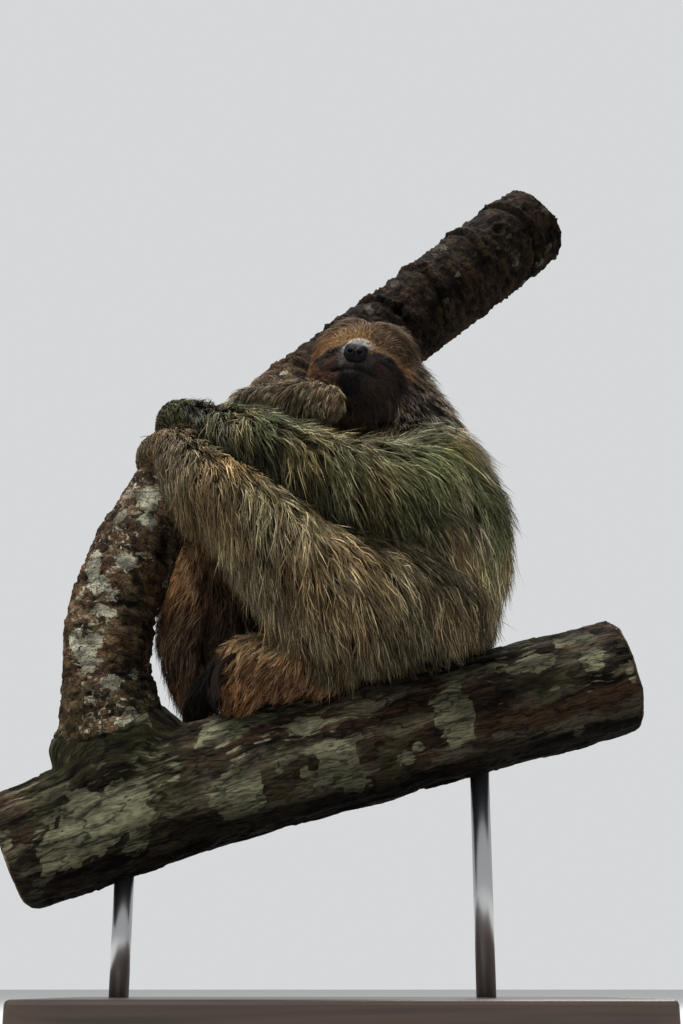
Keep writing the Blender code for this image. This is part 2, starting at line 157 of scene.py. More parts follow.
# The head's forms in its own frame, as (centre, radii).
SKULL = [
    ((0, -5, 3), (51, 45, 48)), ((0, 11, -16), (46, 38, 36)), ((0, 38, -20), (19.0, 21, 14)),
    ((0, 42, -9), (16, 15, 17)), ((0, 28, -30), (23, 22, 13)),
    ((25, 15, -20), (23, 25, 25)), ((-25, 15, -20), (23, 25, 25)),
]
EYES = {"right": 1, "left": -1}
EYE_BALL = 6.6
EYE_CENTRE = (28.5, 36.2, -10.0)
NOSE_CENTRE, NOSE_RADII = (0.5, 58.6, -16.2), (12.0, 5.2, 10.2)
NOSTRIL_OUT, NOSTRIL_DOWN = 4.7, 1.6


def to_head(p):
    """World points in the head's own frame."""
    return (np.asarray(p) - HEAD_CENTRE) @ HEAD_TURN * 1000.0


def from_head(q):
    """Points of the head's own frame in the world."""
    return HEAD_CENTRE + (np.asarray(q, float) / 1000.0) @ HEAD_TURN.T


def head_ways(*parts):
    """Directions in the world, from their three parts in the head's frame."""
    return np.column_stack(np.broadcast_arrays(*parts)) @ HEAD_TURN.T


# ---- small tools


def corner(i, seed):
    """A repeatable random number for each lattice point."""
    n = (i[:, 0] * 73856093) ^ (i[:, 1] * 19349663) ^ (i[:, 2] * 83492791) ^ (seed * 40503)
    n = n & 0xFFFFFFFF
    for shift, factor in ((15, 1274126177), (13, 1103515245)):
        n = ((n ^ (n >> shift)) * factor) & 0xFFFFFFFF
    return ((n ^ (n >> 16)) & 0xFFFFFF) / 0xFFFFFF


def noise(p, scale, seed=0):
    """Smooth value noise from 0 to 1 at the points."""
    q = np.asarray(p) * scale
    i = np.floor(q).astype(np.int64)
    f = q - i
    f = f * f * (3 - 2 * f)
    total = np.zeros(len(q))
    for step in np.ndindex(2, 2, 2):
        total += np.prod(np.where(step, f, 1 - f), axis=1) * corner(i + step, seed)
    return total


TWIST = np.array(Euler((0.7, 1.1, 0.5)).to_matrix())


def cloud(p, scale, octaves=3, seed=0):
    """Noise at several sizes, from 0 to 1."""
    p = np.asarray(p) @ TWIST.T
    total = 0.0
    weight = 0.0
    for k in range(octaves):
        total = total + noise(p, scale * 2.03**k, seed + 7 * k) * 0.5**k
        weight += 0.5**k
        p = p @ TWIST.T
    return total / weight


def swirl(p, scale, seed):
    """A small vector at each point that changes smoothly from place to place."""
    return np.column_stack([cloud(p, scale, 2, seed + k) - 0.5 for k in range(3)])


def ramp(x, low, high):
    """0 up to low, 1 from high on, and smooth between."""
    t = np.clip((x - low) / (high - low), 0.0, 1.0)
    return t * t * (3 - 2 * t)


def bell(x, width, power=2):
    """1 at zero, and falling on both sides."""
    return np.exp(-((x / width) ** power))


def spot(x, z, at_x, at_z, wide, high, power=2):
    """1 at a place as seen from the near side, and falling round it."""
    return bell(x - at_x, wide, power) * bell(z - at_z, high, power)


def mix(a, b, t):
    """From a to b by each point's share t."""
    return a + (np.asarray(b) - a) * np.asarray(t)[..., None]


def read(items, key, columns, kind=np.float32):
    """One property of a mesh's elements, as an array."""
    values = np.empty(len(items) * columns, kind)
    items.foreach_get(key, values)
    return values.reshape(-1, columns)


def coordinates(mesh):
    return read(mesh.vertices, "co", 3).astype(float)


def vertex_normals(mesh):
    return read(mesh.vertex_normals, "vector", 3).astype(float)


def move_vertices(mesh, co):
    mesh.vertices.foreach_set("co", np.ascontiguousarray(co, dtype=np.float32).ravel())
    mesh.update()


def new_mesh(name, verts, faces):
    """A mesh from arrays, where every face has the same number of corners."""
    mesh = bpy.data.meshes.new(name)
    mesh.vertices.add(len(verts))
    mesh.vertices.foreach_set("co", np.ascontiguousarray(verts, dtype=np.float32).ravel())
    mesh.loops.add(faces.size)
    mesh.loops.foreach_set("vertex_index", np.ascontiguousarray(faces, dtype=np.int32).ravel())
    mesh.polygons.add(len(faces))
    mesh.polygons.foreach_set("loop_start", np.arange(0, faces.size, faces.shape[1], dtype=np.int32))
    mesh.update(calc_edges=True)
    mesh.shade_smooth()
    return mesh


def mesh_from(shape, mesh):
    """Writes a bmesh to a mesh, or to a new one of that name, and frees it."""
    mesh = bpy.data.meshes.new(mesh) if isinstance(mesh, str) else mesh
    shape.to_mesh(mesh)
    shape.free()
    return mesh


def new_object(name, mesh, material=None):
    obj = bpy.data.objects.new(name, mesh)
    bpy.context.scene.collection.objects.link(obj)
    if material:
        mesh.materials.clear()
        mesh.materials.append(material)
    return obj


def paint(mesh, name, colours):
    """A colour for each vertex."""
    layer = mesh.color_attributes.new(name, "FLOAT_COLOR", "POINT")
    rgba = np.ones((len(colours), 4), np.float32)
    rgba[:, :3] = colours
    layer.data.foreach_set("color", rgba.ravel())


def attach(mesh, name, kind, key, values):
    """A number or vector for each vertex."""
    layer = mesh.attributes.new(name, kind, "POINT")
    layer.data.foreach_set(key, values.astype(np.float32).ravel())


def ball(centre, radii, turn=None, rings=20):
    """An ellipsoid, as a mesh."""
    shape = bmesh.new()
    bmesh.ops.create_uvsphere(shape, u_segments=2 * rings, v_segments=rings, radius=1.0)
    mesh = mesh_from(shape, "ball")
    co = coordinates(mesh) * radii
    if turn is not None:
        co = co @ turn.T
    move_vertices(mesh, co + centre)
    return mesh


def tube(stations, flat=1.0):
    """A tube of changing radius with a ball at each end, as meshes."""
    sides = 24
    line = smooth_line(stations, 6)
    along = unit(np.gradient(line[:, :3], axis=0))
    side = np.cross(along[0], [0.13, 0.97, 0.21])
    rings = []
    turn = np.arange(sides) * 2 * math.pi / sides
    for point, axis in zip(line, along):
        side = unit(side - side @ axis * axis)
        ring = np.cos(turn)[:, None] * side + np.sin(turn)[:, None] * np.cross(axis, side)
        rings.append(point[:3] + point[3] * ring)
    verts = np.vstack([*rings, line[:1, :3], line[-1:, :3]])
    faces = []
    last = (len(rings) - 1) * sides
    for start in range(0, last, sides):
        for k in range(sides):
            a, b = start + k, start + (k + 1) % sides
            faces += [(a, b, b + sides), (a, b + sides, a + sides)]
    for k in range(sides):
        faces.append(((k + 1) % sides, k, len(verts) - 2))
        faces.append((last + k, last + (k + 1) % sides, len(verts) - 1))
    meshes = [new_mesh("tube", verts, np.array(faces))]
    meshes += [ball(line[i, :3], (line[i, 3] * 0.99,) * 3) for i in (0, -1)]
    for mesh in meshes:
        move_vertices(mesh, coordinates(mesh) * (1.0, flat, 1.0))
    return meshes


def remeshed(name, meshes, voxel, smoothing):
    """One soft closed object round overlapping meshes."""
    shape = bmesh.new()
    for mesh in meshes:
        shape.from_mesh(mesh)
        bpy.data.meshes.remove(mesh)
    obj = new_object(name, mesh_from(shape, name))
    remesh = obj.modifiers.new("remesh", "REMESH")
    remesh.mode = "VOXEL"
    remesh.voxel_size = voxel
    obj.modifiers.new("smooth", "SMOOTH").iterations = smoothing
    evened = obj.evaluated_get(bpy.context.evaluated_depsgraph_get())
    mesh = bpy.data.meshes.new_from_object(evened)
    obj.modifiers.clear()
    obj.data = mesh
    return obj


def largest_island(mesh):
    """Keeps the outer skin and drops what the remesh leaves inside it."""
    shape = bmesh.new()
    shape.from_mesh(mesh)
    left = set(shape.verts)
    groups = []
    while left:
        todo = [left.pop()]
        group = list(todo)
        while todo:
            near = {v for edge in todo.pop().link_edges for v in edge.verts} & left
            left -= near
            group += near
            todo += near
        groups.append(group)
    for group in sorted(groups, key=len)[:-1]:
        bmesh.ops.delete(shape, geom=group, context="VERTS")
    mesh_from(shape, mesh)


# ---- where things are


def nearest(p, line, tapered=True):
    """The nearest place on a line of (x, y, z, radius): gap past the radius, span, share of the span."""
    gap, span, part = np.full(len(p), 9.0), np.zeros(len(p), int), np.zeros(len(p))
    for i, (a, b) in enumerate(zip(line, line[1:])):
        run = b[:3] - a[:3]
        t = np.clip((p - a[:3]) @ run / (run @ run), 0, 1)
        radius = a[3] + t * (b[3] - a[3]) if tapered else a[3]
        d = size_of(p - a[:3] - t[:, None] * run) - radius
        near = d < gap
        gap[near], span[near], part[near] = d[near], i, t[near]
    return gap, span, part


def along_line(p, line):
    """For each point: how far along the line, its angle round it, and distance past its radius."""
    line = smooth_line(line, 22)
    gap, span, part = nearest(p, line, tapered=False)
    runs = np.diff(line[:, :3], axis=0)
    lengths = size_of(runs)
    axis = unit(runs)[span]
    side = unit(NEAR_SIDE + axis[:, 1:2] * axis)
    out = p - mix(line[span], line[span + 1], part)[:, :3]
    turn = np.arctan2((out * np.cross(side, axis)).sum(1), (out * side).sum(1))
    return (np.cumsum(lengths) - lengths)[span] + part * lengths[span], turn, gap


PERCH = [smooth_line(line, 4) for line in (BRANCH, LIMB)]


def from_perch(p, room=0.0012):
    """Keeps points out of the branch and the limb."""
    for line in PERCH:
        gap, span, part = nearest(p, line * (1, 1, 1, 0))
        foot = mix(line[span], line[span + 1], part)
        inside = gap < foot[:, 3] + room
        foot = foot[inside]
        p[inside] = foot[:, :3] + unit(p[inside] - foot[:, :3]) * (foot[:, 3:] + room)
    return p


def is_in(region, *names):
    return np.isin(region, [REGIONS.index(n) for n in names])


def gap_to(p, name):
    """How far points are from the flesh of a region, up to 8 cm."""
    return np.minimum(nearest(p, smooth_line(FLESH[name], 3))[0], 0.08)


def locate(p):
    """For each point: its region, the way that region's line runs, and how far along it."""
    best, share = np.full(len(p), 9.0), np.zeros(len(p))
    region, axis = np.zeros(len(p), int), np.zeros((len(p), 3))
    for k, stations in enumerate(FLESH.values()):
        line = smooth_line(stations, 3)
        gap, span, part = nearest(p, line)
        near = gap < best
        best[near] = gap[near]
        region[near] = k
        axis[near] = unit(np.diff(line[:, :3], axis=0))[span[near]]
        share[near] = (span + part)[near] / (len(line) - 1)
    q = to_head(p)
    gap = (size_of((q - (0, 1, -5)) / (51, 50, 45)) - 1) * 0.048
    near = (gap < best) | ((q[:, 1] > 12) & (size_of(q) < 70) & (q[:, 2] > -46))
    near &= ~(is_in(region, "fore_right") & (best < 0.004) & (p[:, 2] < HEAD_CENTRE[2] - 0.034))
    region[near] = len(FLESH)
    return region, axis, share


def collar_at(p):
    """1 on the fold of fur between the throat and the left shoulder."""
    centre, radii = FORMS["collar"]
    away = size_of((p - centre) / radii)
    return ramp(away, 1.5, 1.05) * ramp(-p[:, 1], 0.02, 0.035)


def eye_frame(sign):
    """The eye's centre and its out, across and up directions in the head's frame."""
    out = unit(np.array([0.36 * sign, 0.93, -0.04]))
    up = unit(np.array([0.0, 0.0, 1.0]) - out[2] * out)
    return np.array(EYE_CENTRE) * (sign, 1, 1), out, np.cross(up, out) * -sign, up


def mouth_line(x):
    return -29.2 - 0.001 * (x - 2) ** 2


# ---- markings


def palette(*thousandths):
    """A dark, a middle and a pale colour, from thousandths of red, green and blue."""
    return np.array(thousandths).reshape(3, 3) / 1000


COLUMN = palette(35, 23, 14, 110, 68, 38, 260, 170, 100)
COATS = {
    "trunk": palette(46, 38, 23, 138, 114, 66, 440, 380, 250),
    "arm_left": palette(40, 38, 17, 118, 110, 45, 500, 460, 260),
    "leg_left": palette(50, 39, 21, 152, 117, 62, 490, 410, 250),
    "neck": palette(55, 40, 26, 170, 130, 85, 480, 400, 290),
    "fore_right": palette(60, 46, 27, 190, 150, 85, 460, 390, 260),
    "shank_right": COLUMN,
    "foot_right": palette(66, 32, 15, 215, 108, 48, 400, 240, 130),
}
LIKE = {"arm_right": "arm_left", "leg_right": "leg_left", "tail": "trunk", "head": "trunk"}
GREEN = palette(30, 36, 14, 86, 100, 38, 390, 390, 200)
PAW = palette(66, 50, 26, 192, 144, 74, 440, 350, 200)
TAN = palette(125, 67, 23, 248, 136, 47, 355, 215, 84)
HOOD = palette(31, 21, 11, 103, 68, 35, 330, 240, 138)
STRIPE = palette(5, 4, 4, 13, 9, 7, 34, 22, 16)
CHIN = palette(8, 7, 7, 18, 16, 17, 37, 33, 34)
CHEEK = palette(16, 9, 7, 44, 24, 17, 90, 52, 36)
THROAT = palette(28, 19, 14, 64, 43, 32, 105, 73, 54)
DEEP = palette(8, 6, 5, 24, 17, 11, 90, 68, 45)
HOOD_DARK = palette(24, 13, 6, 80, 44, 20, 230, 142, 70)
AMBER = palette(125, 58, 23, 275, 132, 52, 420, 235, 100)
RUDDY = palette(60, 30, 20, 170, 80, 50, 270, 150, 100)
MUZZLE = palette(180, 160, 135, 410, 380, 330, 600, 560, 490)
RUST = palette(110, 58, 28, 340, 190, 92, 550, 360, 190)
WARMER = np.array([0.7, -0.25, -0.9])
LESS_BLUE = np.array([0.0, -0.16, -0.36])

# Painted light and shade: lighter and darker places of the coat's near side: x, z, half width, half height
# (mm), gain.
LIGHT_AND_SHADE_SPOTS = [
    (-31, 436, 13, 16, 1.3), (-24, 408, 13, 14, 0.6), (4, 352, 13, 26, -0.35), (-42, 378, 13, 16, -0.25),
    (105, 432, 18, 13, 1.5), (66, 392, 13, 13, -0.45), (66, 527, 22, 12, 0.5), (-38, 554, 14, 12, -0.5),
    (28, 545, 18, 9, 0.35), (-116, 526, 24, 8, 0.5), (-92, 372, 14, 20, 0.9), (140, 385, 14, 16, 0.35),
    (105, 437, 20, 14, 0.6),
]


def marked(out, steps):
    """Colours after each step: a mask, and the palette it moves them to or the gain it adds."""
    for mask, change in steps:
        mask = mask[:, None, None]
        out = out + (change - out) * mask if np.ndim(change) == 2 else out * (1 + change * mask)
    return out


def face_markings(q):
    """Dark, middle and pale colours on the head, from points of its own frame, with painted shade."""
    x, y, z = q.T
    ax = np.abs(x)
    wander = (cloud(q, 0.11, 3, 3) - 0.5) * 6
    front = ramp(y, 0, 12)
    reach = np.hypot(x / 1.04, (z + 9) / (0.92 + 0.1 * (z < -9))) + wander * 0.6
    rim = reach - 5 * ramp(-x, 10, 30) * ramp(-z, 14, 24)
    cap = ramp(z - 8 - 0.3 * np.minimum(x, 0) + 0.8 * wander, -5, 6) * ramp(-x, -6, 12)
    below_cap = front * (1 - np.maximum(cap, ramp(z + wander, 13, 26) * 0.75))
    line = np.where(x > 0, -9.5 - 0.5 * (x - 28.5), -9.0 - 0.026 * np.clip(ax - 22, 0, 40) ** 2)
    width = np.where(x > 0, 3.3 + 0.06 * np.clip(ax - 24, 0, 30), 4.6 + 0.16 * np.clip(ax - 20, 0, 30))
    stripe = ramp(np.abs(z - line) + wander * 0.3, width * 1.3, width * 0.75)
    under_eye = bell(x - 27, 7, 4) * bell(z + 19.5 + 0.5 * (x - 27), 2.4)
    ruddy = ramp(x, 10, 20) * ramp(-z, 26, 31) * ramp(-z, 54, 44) * ramp(rim, 46, 40)
    ring = np.hypot(x / 1.02, (z + 15) / 1.12) + wander * 0.25
    turn = np.degrees(np.arctan2(-x, z + 15))
    crest = 1 - 0.92 * ramp(turn, 28, 66) - 0.72 * ramp(-turn, 48, 88)
    # Painted shade along the mouth's line.
    slit = ramp(np.abs(z - mouth_line(x)), 2.8, 1.3) * ramp(np.abs(x - 2), 25, 21) * ramp(y, 26, 34)
    slant = 0.15 * (z + 40)
    # Painted shade in the hollow below the cheek on the head's -x side.
    hollow_shade = ramp(-x, 4, 14) * ramp(-x, 42 - slant, 36 - slant) * ramp(-z, 26, 34)
    return marked(np.repeat(HOOD[None], len(q), axis=0), [
        ((cloud(q, 0.05, 2, 17) > 0.5) * 0.4 + 0.2, HOOD_DARK),
        # The hood darker at the front, its own colour, and darker still on the -x side as painted shade.
        (front * (0.5 + 0.5 * ramp(-x, -6, 16)), HOOD_DARK),
        (ramp(reach + 4 * ramp(-x, 20, 30), 50, 43) * below_cap, TAN),
        (ramp(np.abs(reach - 44), 7, 2) * ramp(ax, 24, 36) * below_cap * 0.9, AMBER),
        # Painted shade on the head's -x side, round the brow band.
        (front * ramp(-x, 24, 34) * ramp(reach, 43, 47) * 0.85, DEEP),
        (ramp(-x + 0.3 * wander, 24, 40) * front * 0.45 * ramp(rim, 44, 52), HOOD_DARK),
        (ramp(line - z, -1, 4) * ramp(rim, 43, 37) * front, CHEEK),
        # The chin's dark colour, partly its own and partly painted shade under the head.
        (ramp(-z + wander * 0.4, 25, 31) * ramp(rim, 45, 38) * front, CHIN),
        (under_eye * front * 0.55, TAN),
        (ruddy * front * 0.85, RUDDY),
        (stripe * ramp(ax, 11, 15) * ramp(rim, 46, 41) * front, STRIPE),
        (ramp(ring, 22, 17.5) * ramp(-z, 12, 20) * ramp(y, 30, 38) * 0.75, CHIN),
        (ramp(ring, 18.5, 14.5) * crest * ramp(y, 30, 38), MUZZLE),
        (slit, -0.8),
        (ramp(-z - 0.25 * (y - 20), 40, 48) * front * ramp(rim, 54, 48), THROAT),
        (hollow_shade * front, THROAT),
    ])


def markings(p, region, share):
    """Dark, middle and pale coat colours at points of the body, with painted light and shade."""
    on = lambda *names: is_in(region, *names)
    x, y, z = p.T * 1000
    q = to_head(p)
    algae = cloud(p, 22, 3, 5)
    trunk, body = on("trunk"), on("trunk", "neck")
    arms, arm = on("arm_left", "arm_right"), on("arm_left")
    legs, thigh = on("leg_left", "leg_right"), on("leg_left")
    far_leg, foot = on("shank_right", "leg_right"), on("foot_right")
    throat = body * ramp(q[:, 1], -6, 8) * ramp(np.abs(q[:, 0] + 8), 44, 34) * ramp(z, 575, 590)
    cuff = far_leg * spot(x, z, -156, 441, 20, 15, 4) * ramp(-y, -30, 0)
    arm_gap = gap_to(p, "arm_left") * 1000
    # Painted shade in the crease between the near arm and the thigh.
    crease_shade = on("arm_left", "trunk") * ramp(-y, 20, 60) * ramp(gap_to(p, "leg_left") * 1000, 22, 8)
    crease_shade = crease_shade * ramp(share * arm, 0.62, 0.5) + thigh * ramp(arm_gap, 6, 2)
    # Painted shade on the near arm's underside, below its line.
    drop = np.interp(x, (-130, -80, -39, 10, 66), (562, 546, 518, 500, 504)) - z
    drop = drop - np.interp(x, (-110, -50, 0, 50), (-10, -12, 0, 4))
    under = arm * ramp(drop, 0, 20) * ramp(-y, 30, 60)
    under = under * np.interp(x, (-100, -40, 0, 90), (0.8, 0.86, 0.7, 0.5))
    # Painted highlight along the thigh's upper ridge, where light falls on its top.
    ridge_highlight = thigh * ramp(arm_gap, 4, 10) * ramp(x, 30, -20)
    ridge_highlight = ridge_highlight * ramp(arm_gap + 20 * ramp(-x, 75, 105), 56, 34)
    # Painted shade on the thigh just under the arm.
    over = z - np.interp(x, (-100, -60, -35, -20, -9, 10, 45), (620, 530, 488, 468, 448, 432, 438))
    # How far from the line of the thigh's inner edge.
    inner = ((x + 127) * 1.4345 + z - 428) / 1.7487
    seam = thigh * ramp(inner, 20, 6) * ramp(z, 440, 400) * ramp(-y, 10, 40)
    # Painted shade in the far leg's hollow, right of the shank.
    gully_shade = (far_leg | foot) * ramp(x, -146, -134) * (1 - ramp(x, -116, -108) * ramp(z, 360, 345))
    sole = foot * ramp(x, -112, -102)
    hand = arm * ramp(share, 0.52, 0.72)
    out = marked(np.array([COATS[LIKE.get(name, name)] for name in REGIONS])[region], [
        (body * ramp(z, 450, 490) * ramp(z, 620, 570) * ramp(algae, 0.36, 0.6) * 0.75, GREEN),
        (body * ramp(x, 110, 150) * ramp(algae, 0.42, 0.62) * 0.6, GREEN),
        (body * ramp(algae, 0.56, 0.7) * 0.4, GREEN),
        (arms * ramp(algae + 0.3 * ramp(share, 0.4, 0.75), 0.48, 0.68) * 0.85, GREEN),
        (legs * ramp(cloud(p, 30, 2, 9), 0.52, 0.7) * 0.45, GREEN),
        (on("leg_right") * ramp(-x, 30, 80), COLUMN),
        (legs * ramp(-x + (z - 450) * 0.5, 60, 120) * ramp(z, 430, 490) * 0.7, PAW),
        (thigh * ramp(share, 0.62, 0.85), PAW),
        (arm * ramp(share, 0.78, 0.98) * 0.75, PAW),
        (far_leg * ramp(z, 395, 425) * ramp(-x, 100, 130), RUST),
        (foot * ramp(x, -108, -122), COLUMN),
        # The far knee's rust fur, its own colour, brightened further as a painted highlight.
        (cuff * 0.6, RUST),
        (cuff, 0.45),
        (body * ramp(z, 530, 560) * ramp(-y, 0, 30) * ramp(x, 100, 60) * 0.8, CHEEK),
        (0.56 * ramp(cloud(p, 26, 3, 51), 0.32, 0.68) - 0.28, 1.0),
        (ramp(cloud(p, 34, 2, 53), 0.45, 0.7) * 0.16, WARMER),
        # Painted shade low on the body and legs, towards the branch.
        ((body * 0.22 + legs * 0.15) * ramp(z, 420, 360), -1.0),
        (throat, THROAT),
        (collar_at(p) * on("trunk", "neck", "arm_right"), RUDDY),
        # Painted shade in the crease, under the arm and on the thigh below it, and a painted highlight on
        # the thigh's ridge.
        (np.clip(crease_shade, 0, 1), -0.72),
        (under, -1.0),
        (ridge_highlight * (1.3 - 0.75 * ramp(-x, 115, 145)), 1.0),
        (thigh * ramp(over, -3, 10) * ramp(x, 60, 40), -0.72),
        (thigh * ramp(-x, 85, 120) * ramp(z, 514, 500), -0.18),
        (seam * 0.7, PAW),
        (seam, 0.45),
        # Painted light and shade on the far leg and foot: the hollow, the foot's left and the sole's
        # bottom darker, the sole's top lighter, and a dark spot of shade on the sole; the sole's paw
        # colour is its own.
        (gully_shade, -0.6),
        (foot * (1 - sole), -0.45),
        (sole * ramp(z, 330, 350) * 0.5, PAW),
        (sole * (1.5 * ramp(z, 325, 348) - 0.55 * ramp(z, 322, 292)), 1.0),
        (foot * ramp(x, -98, -108), -0.68),
        (sole * spot(x, z, -103, 327, 4.5, 9), -0.85),
        # Painted shade low on the near leg and trunk, over the branch.
        (on("leg_left", "trunk") * ramp(z - 0.25 * np.maximum(x, 0), 370, 325), -0.5),
        # Painted light and shade at the spots, and painted shade in the fold of the armpit.
        *[(spot(x, z, *place) * ramp(-y, -10, 30), gain) for *place, gain in LIGHT_AND_SHADE_SPOTS],
        (spot(x, z, 100, 487, 30, 14) * ramp(-y, 20, 50), -0.5),
        (trunk * ramp(x, 100, 140) * ramp(z, 360, 400) * ramp(z, 490, 450), 0.3),
        (hand, -0.62),
        (hand, LESS_BLUE),
        (arm * ramp(-x, 88, 118) * ramp(-x, 170, 150), -0.4),
        (thigh * ramp(share, 0.48, 0.68), -0.52),
        (on("arm_right", "fore_right") * ramp(z, 600, 615), -0.38),
        (trunk * ramp(x, 110, 130) * ramp(z, 470, 500) * ramp(z, 560, 535) * ramp(-y, -20, 20), -0.4),
    ])
    head = on("head")
    out[head] = face_markings(q[head])
    # Painted shade in the nook at the side of the neck.
    nook_shade = spot(x, z, 73.5, 606, 11, 22) * ramp(-y, -10, 10)
    return marked(out, [(nook_shade * 0.9, DEEP)])


# ---- skin


def make_skin():
    meshes = []
    for name, stations in FLESH.items():
        meshes += tube(stations, TRUNK_FLATNESS if name == "trunk" else 1.0)
    meshes += [ball(*form) for form in FORMS.values()]
    meshes += [ball(from_head(centre), np.array(radii) / 1000, HEAD_TURN, 32) for centre, radii in SKULL]
    skin = remeshed("skin", meshes, SKIN_VOXEL, 5)
    largest_island(skin.data)
    refine(skin.data, lambda x, y, z, away: (y > 6) & (away < 78))
    refine(skin.data, lambda x, y, z, away: (y > 24) & (np.abs(x) < 42) & (z > -42) & (z < 6))
    sculpt(skin.data)
    return skin


def refine(mesh, wanted):
    """Splits the faces whose middles are wanted, and evens them out."""
    shape = bmesh.new()
    shape.from_mesh(mesh)
    middles = to_head([f.calc_center_median()[:] for f in shape.faces])
    chosen = wanted(*middles.T, size_of(middles))
    edges = list({e for f, ok in zip(shape.faces, chosen) if ok for e in f.edges})
    made = bmesh.ops.subdivide_edges(shape, edges=edges, cuts=1, use_grid_fill=True)
    verts = list({v for v in made["geom_inner"] if isinstance(v, bmesh.types.BMVert)})
    axes = dict.fromkeys(("use_axis_x", "use_axis_y", "use_axis_z"), True)
    for _ in range(3):
        bmesh.ops.smooth_vert(shape, verts=verts, factor=0.5, **axes)
    mesh_from(shape, mesh)


def sculpt(mesh):
    """Mouth, lids and wrinkles, pressed into the face."""
    q = to_head(coordinates(mesh))
    n = vertex_normals(mesh) @ HEAD_TURN
    x, y, z = q.T
    face = ramp(y, 20, 30) * ramp(size_of(q), 80, 74)
    gap = z - mouth_line(x)
    push = -2.7 * bell(gap, 1.35) + 0.8 * bell(gap + 3.6, 2.2) + 0.7 * bell(gap - 3.4, 2.0)
    q = q + n * (push * ramp(np.abs(x - 2), 25, 20) * ramp(y, 26, 32) * face)[:, None]
    q = q + n * ((noise(q, 0.35, 31) - 0.5) * 0.5 * face)[:, None]
    for sign in EYES.values():
        centre, out, across, up = eye_frame(sign)
        rel = q - centre
        u, v = rel @ across, rel @ up
        near = ramp(np.hypot(u, v * 1.15), 11.5, 7.2) * (rel @ out > -4)
        upper = np.clip(1 - (u / 5.4) ** 2, 0, 1)
        inside = np.minimum(upper - v, v + 0.9 * upper)
        lid = EYE_BALL + 1.15 - 2.6 * ramp(inside, -0.25, 0.35)
        lid += 0.35 * bell(v - upper - 1.3, 0.8) - 0.45 * bell(v - upper - 2.9, 0.6)
        q = q + (centre + unit(rel) * lid[:, None] - q) * near[:, None]
    move_vertices(mesh, from_head(q))


def unwrap(obj, name):
    """An unwrap of the surface's own shape."""
    obj.data.uv_layers.new(name=name)
    bpy.context.view_layer.objects.active = obj
    obj.select_set(True)
    bpy.ops.object.mode_set(mode="EDIT")
    bpy.ops.mesh.select_all(action="SELECT")
    bpy.ops.uv.smart_project(angle_limit=math.radians(66), island_margin=0.002)
    bpy.ops.object.mode_set(mode="OBJECT")
    obj.select_set(False)
    return read(obj.data.uv_layers[name].data, "uv", 2)


# ---- coat

# For each region: hair length, width, hairs to the square centimetre, coat depth (mm),
# the pull along the limb towards the body, and the pull of its own weight.
HAIR = {
    "trunk": (44, 1.35, 18, 17, 0.25, 1.0),
    "neck": (40, 1.35, 18, 12, 0.55, 0.9),
    "arm_left": (42, 1.3, 20, 17, 0.85, 0.75),
    "leg_left": (42, 1.3, 19, 16, 0.55, 0.95),
    "arm_right": (38, 1.35, 16, 12, 0.85, 0.7),
    "fore_right": (22, 1.05, 34, 6, 0.75, 0.75),
    "leg_right": (40, 1.5, 13, 14, 0.5, 1.0),
    "shank_right": (28, 1.2, 19, 8, -0.3, 1.0),
    "foot_right": (18, 1.00, 28, 8, 0.55, 0.6),
    "tail": (24, 1.2, 20, 6, 0.3, 1.0),
    "head": (26, 1.05, 30, 8, 0.0, 0.8),
}
# The first four where a coat differs: hooked hand and foot, collar (its width kept), head, face,
# and what the brow adds.
HOOKED = (8.0, 0.55, 130, 1.6)
COLLAR_HAIR = (11, 0, 40, 4)
HEAD_HAIR = np.array([32, 1.05, 26, 11])
FACE_HAIR = np.array([4.0, 0.4, 190, 2.4])
BROW_MORE = np.array([4.0, 0.06, -50, 1.2])
FALL_OF = {"trunk": (0.42, 0.0, -1.0), "neck": (0.55, 0.0, -0.9), "shank_right": (-0.3, -0.25, -1.0)}


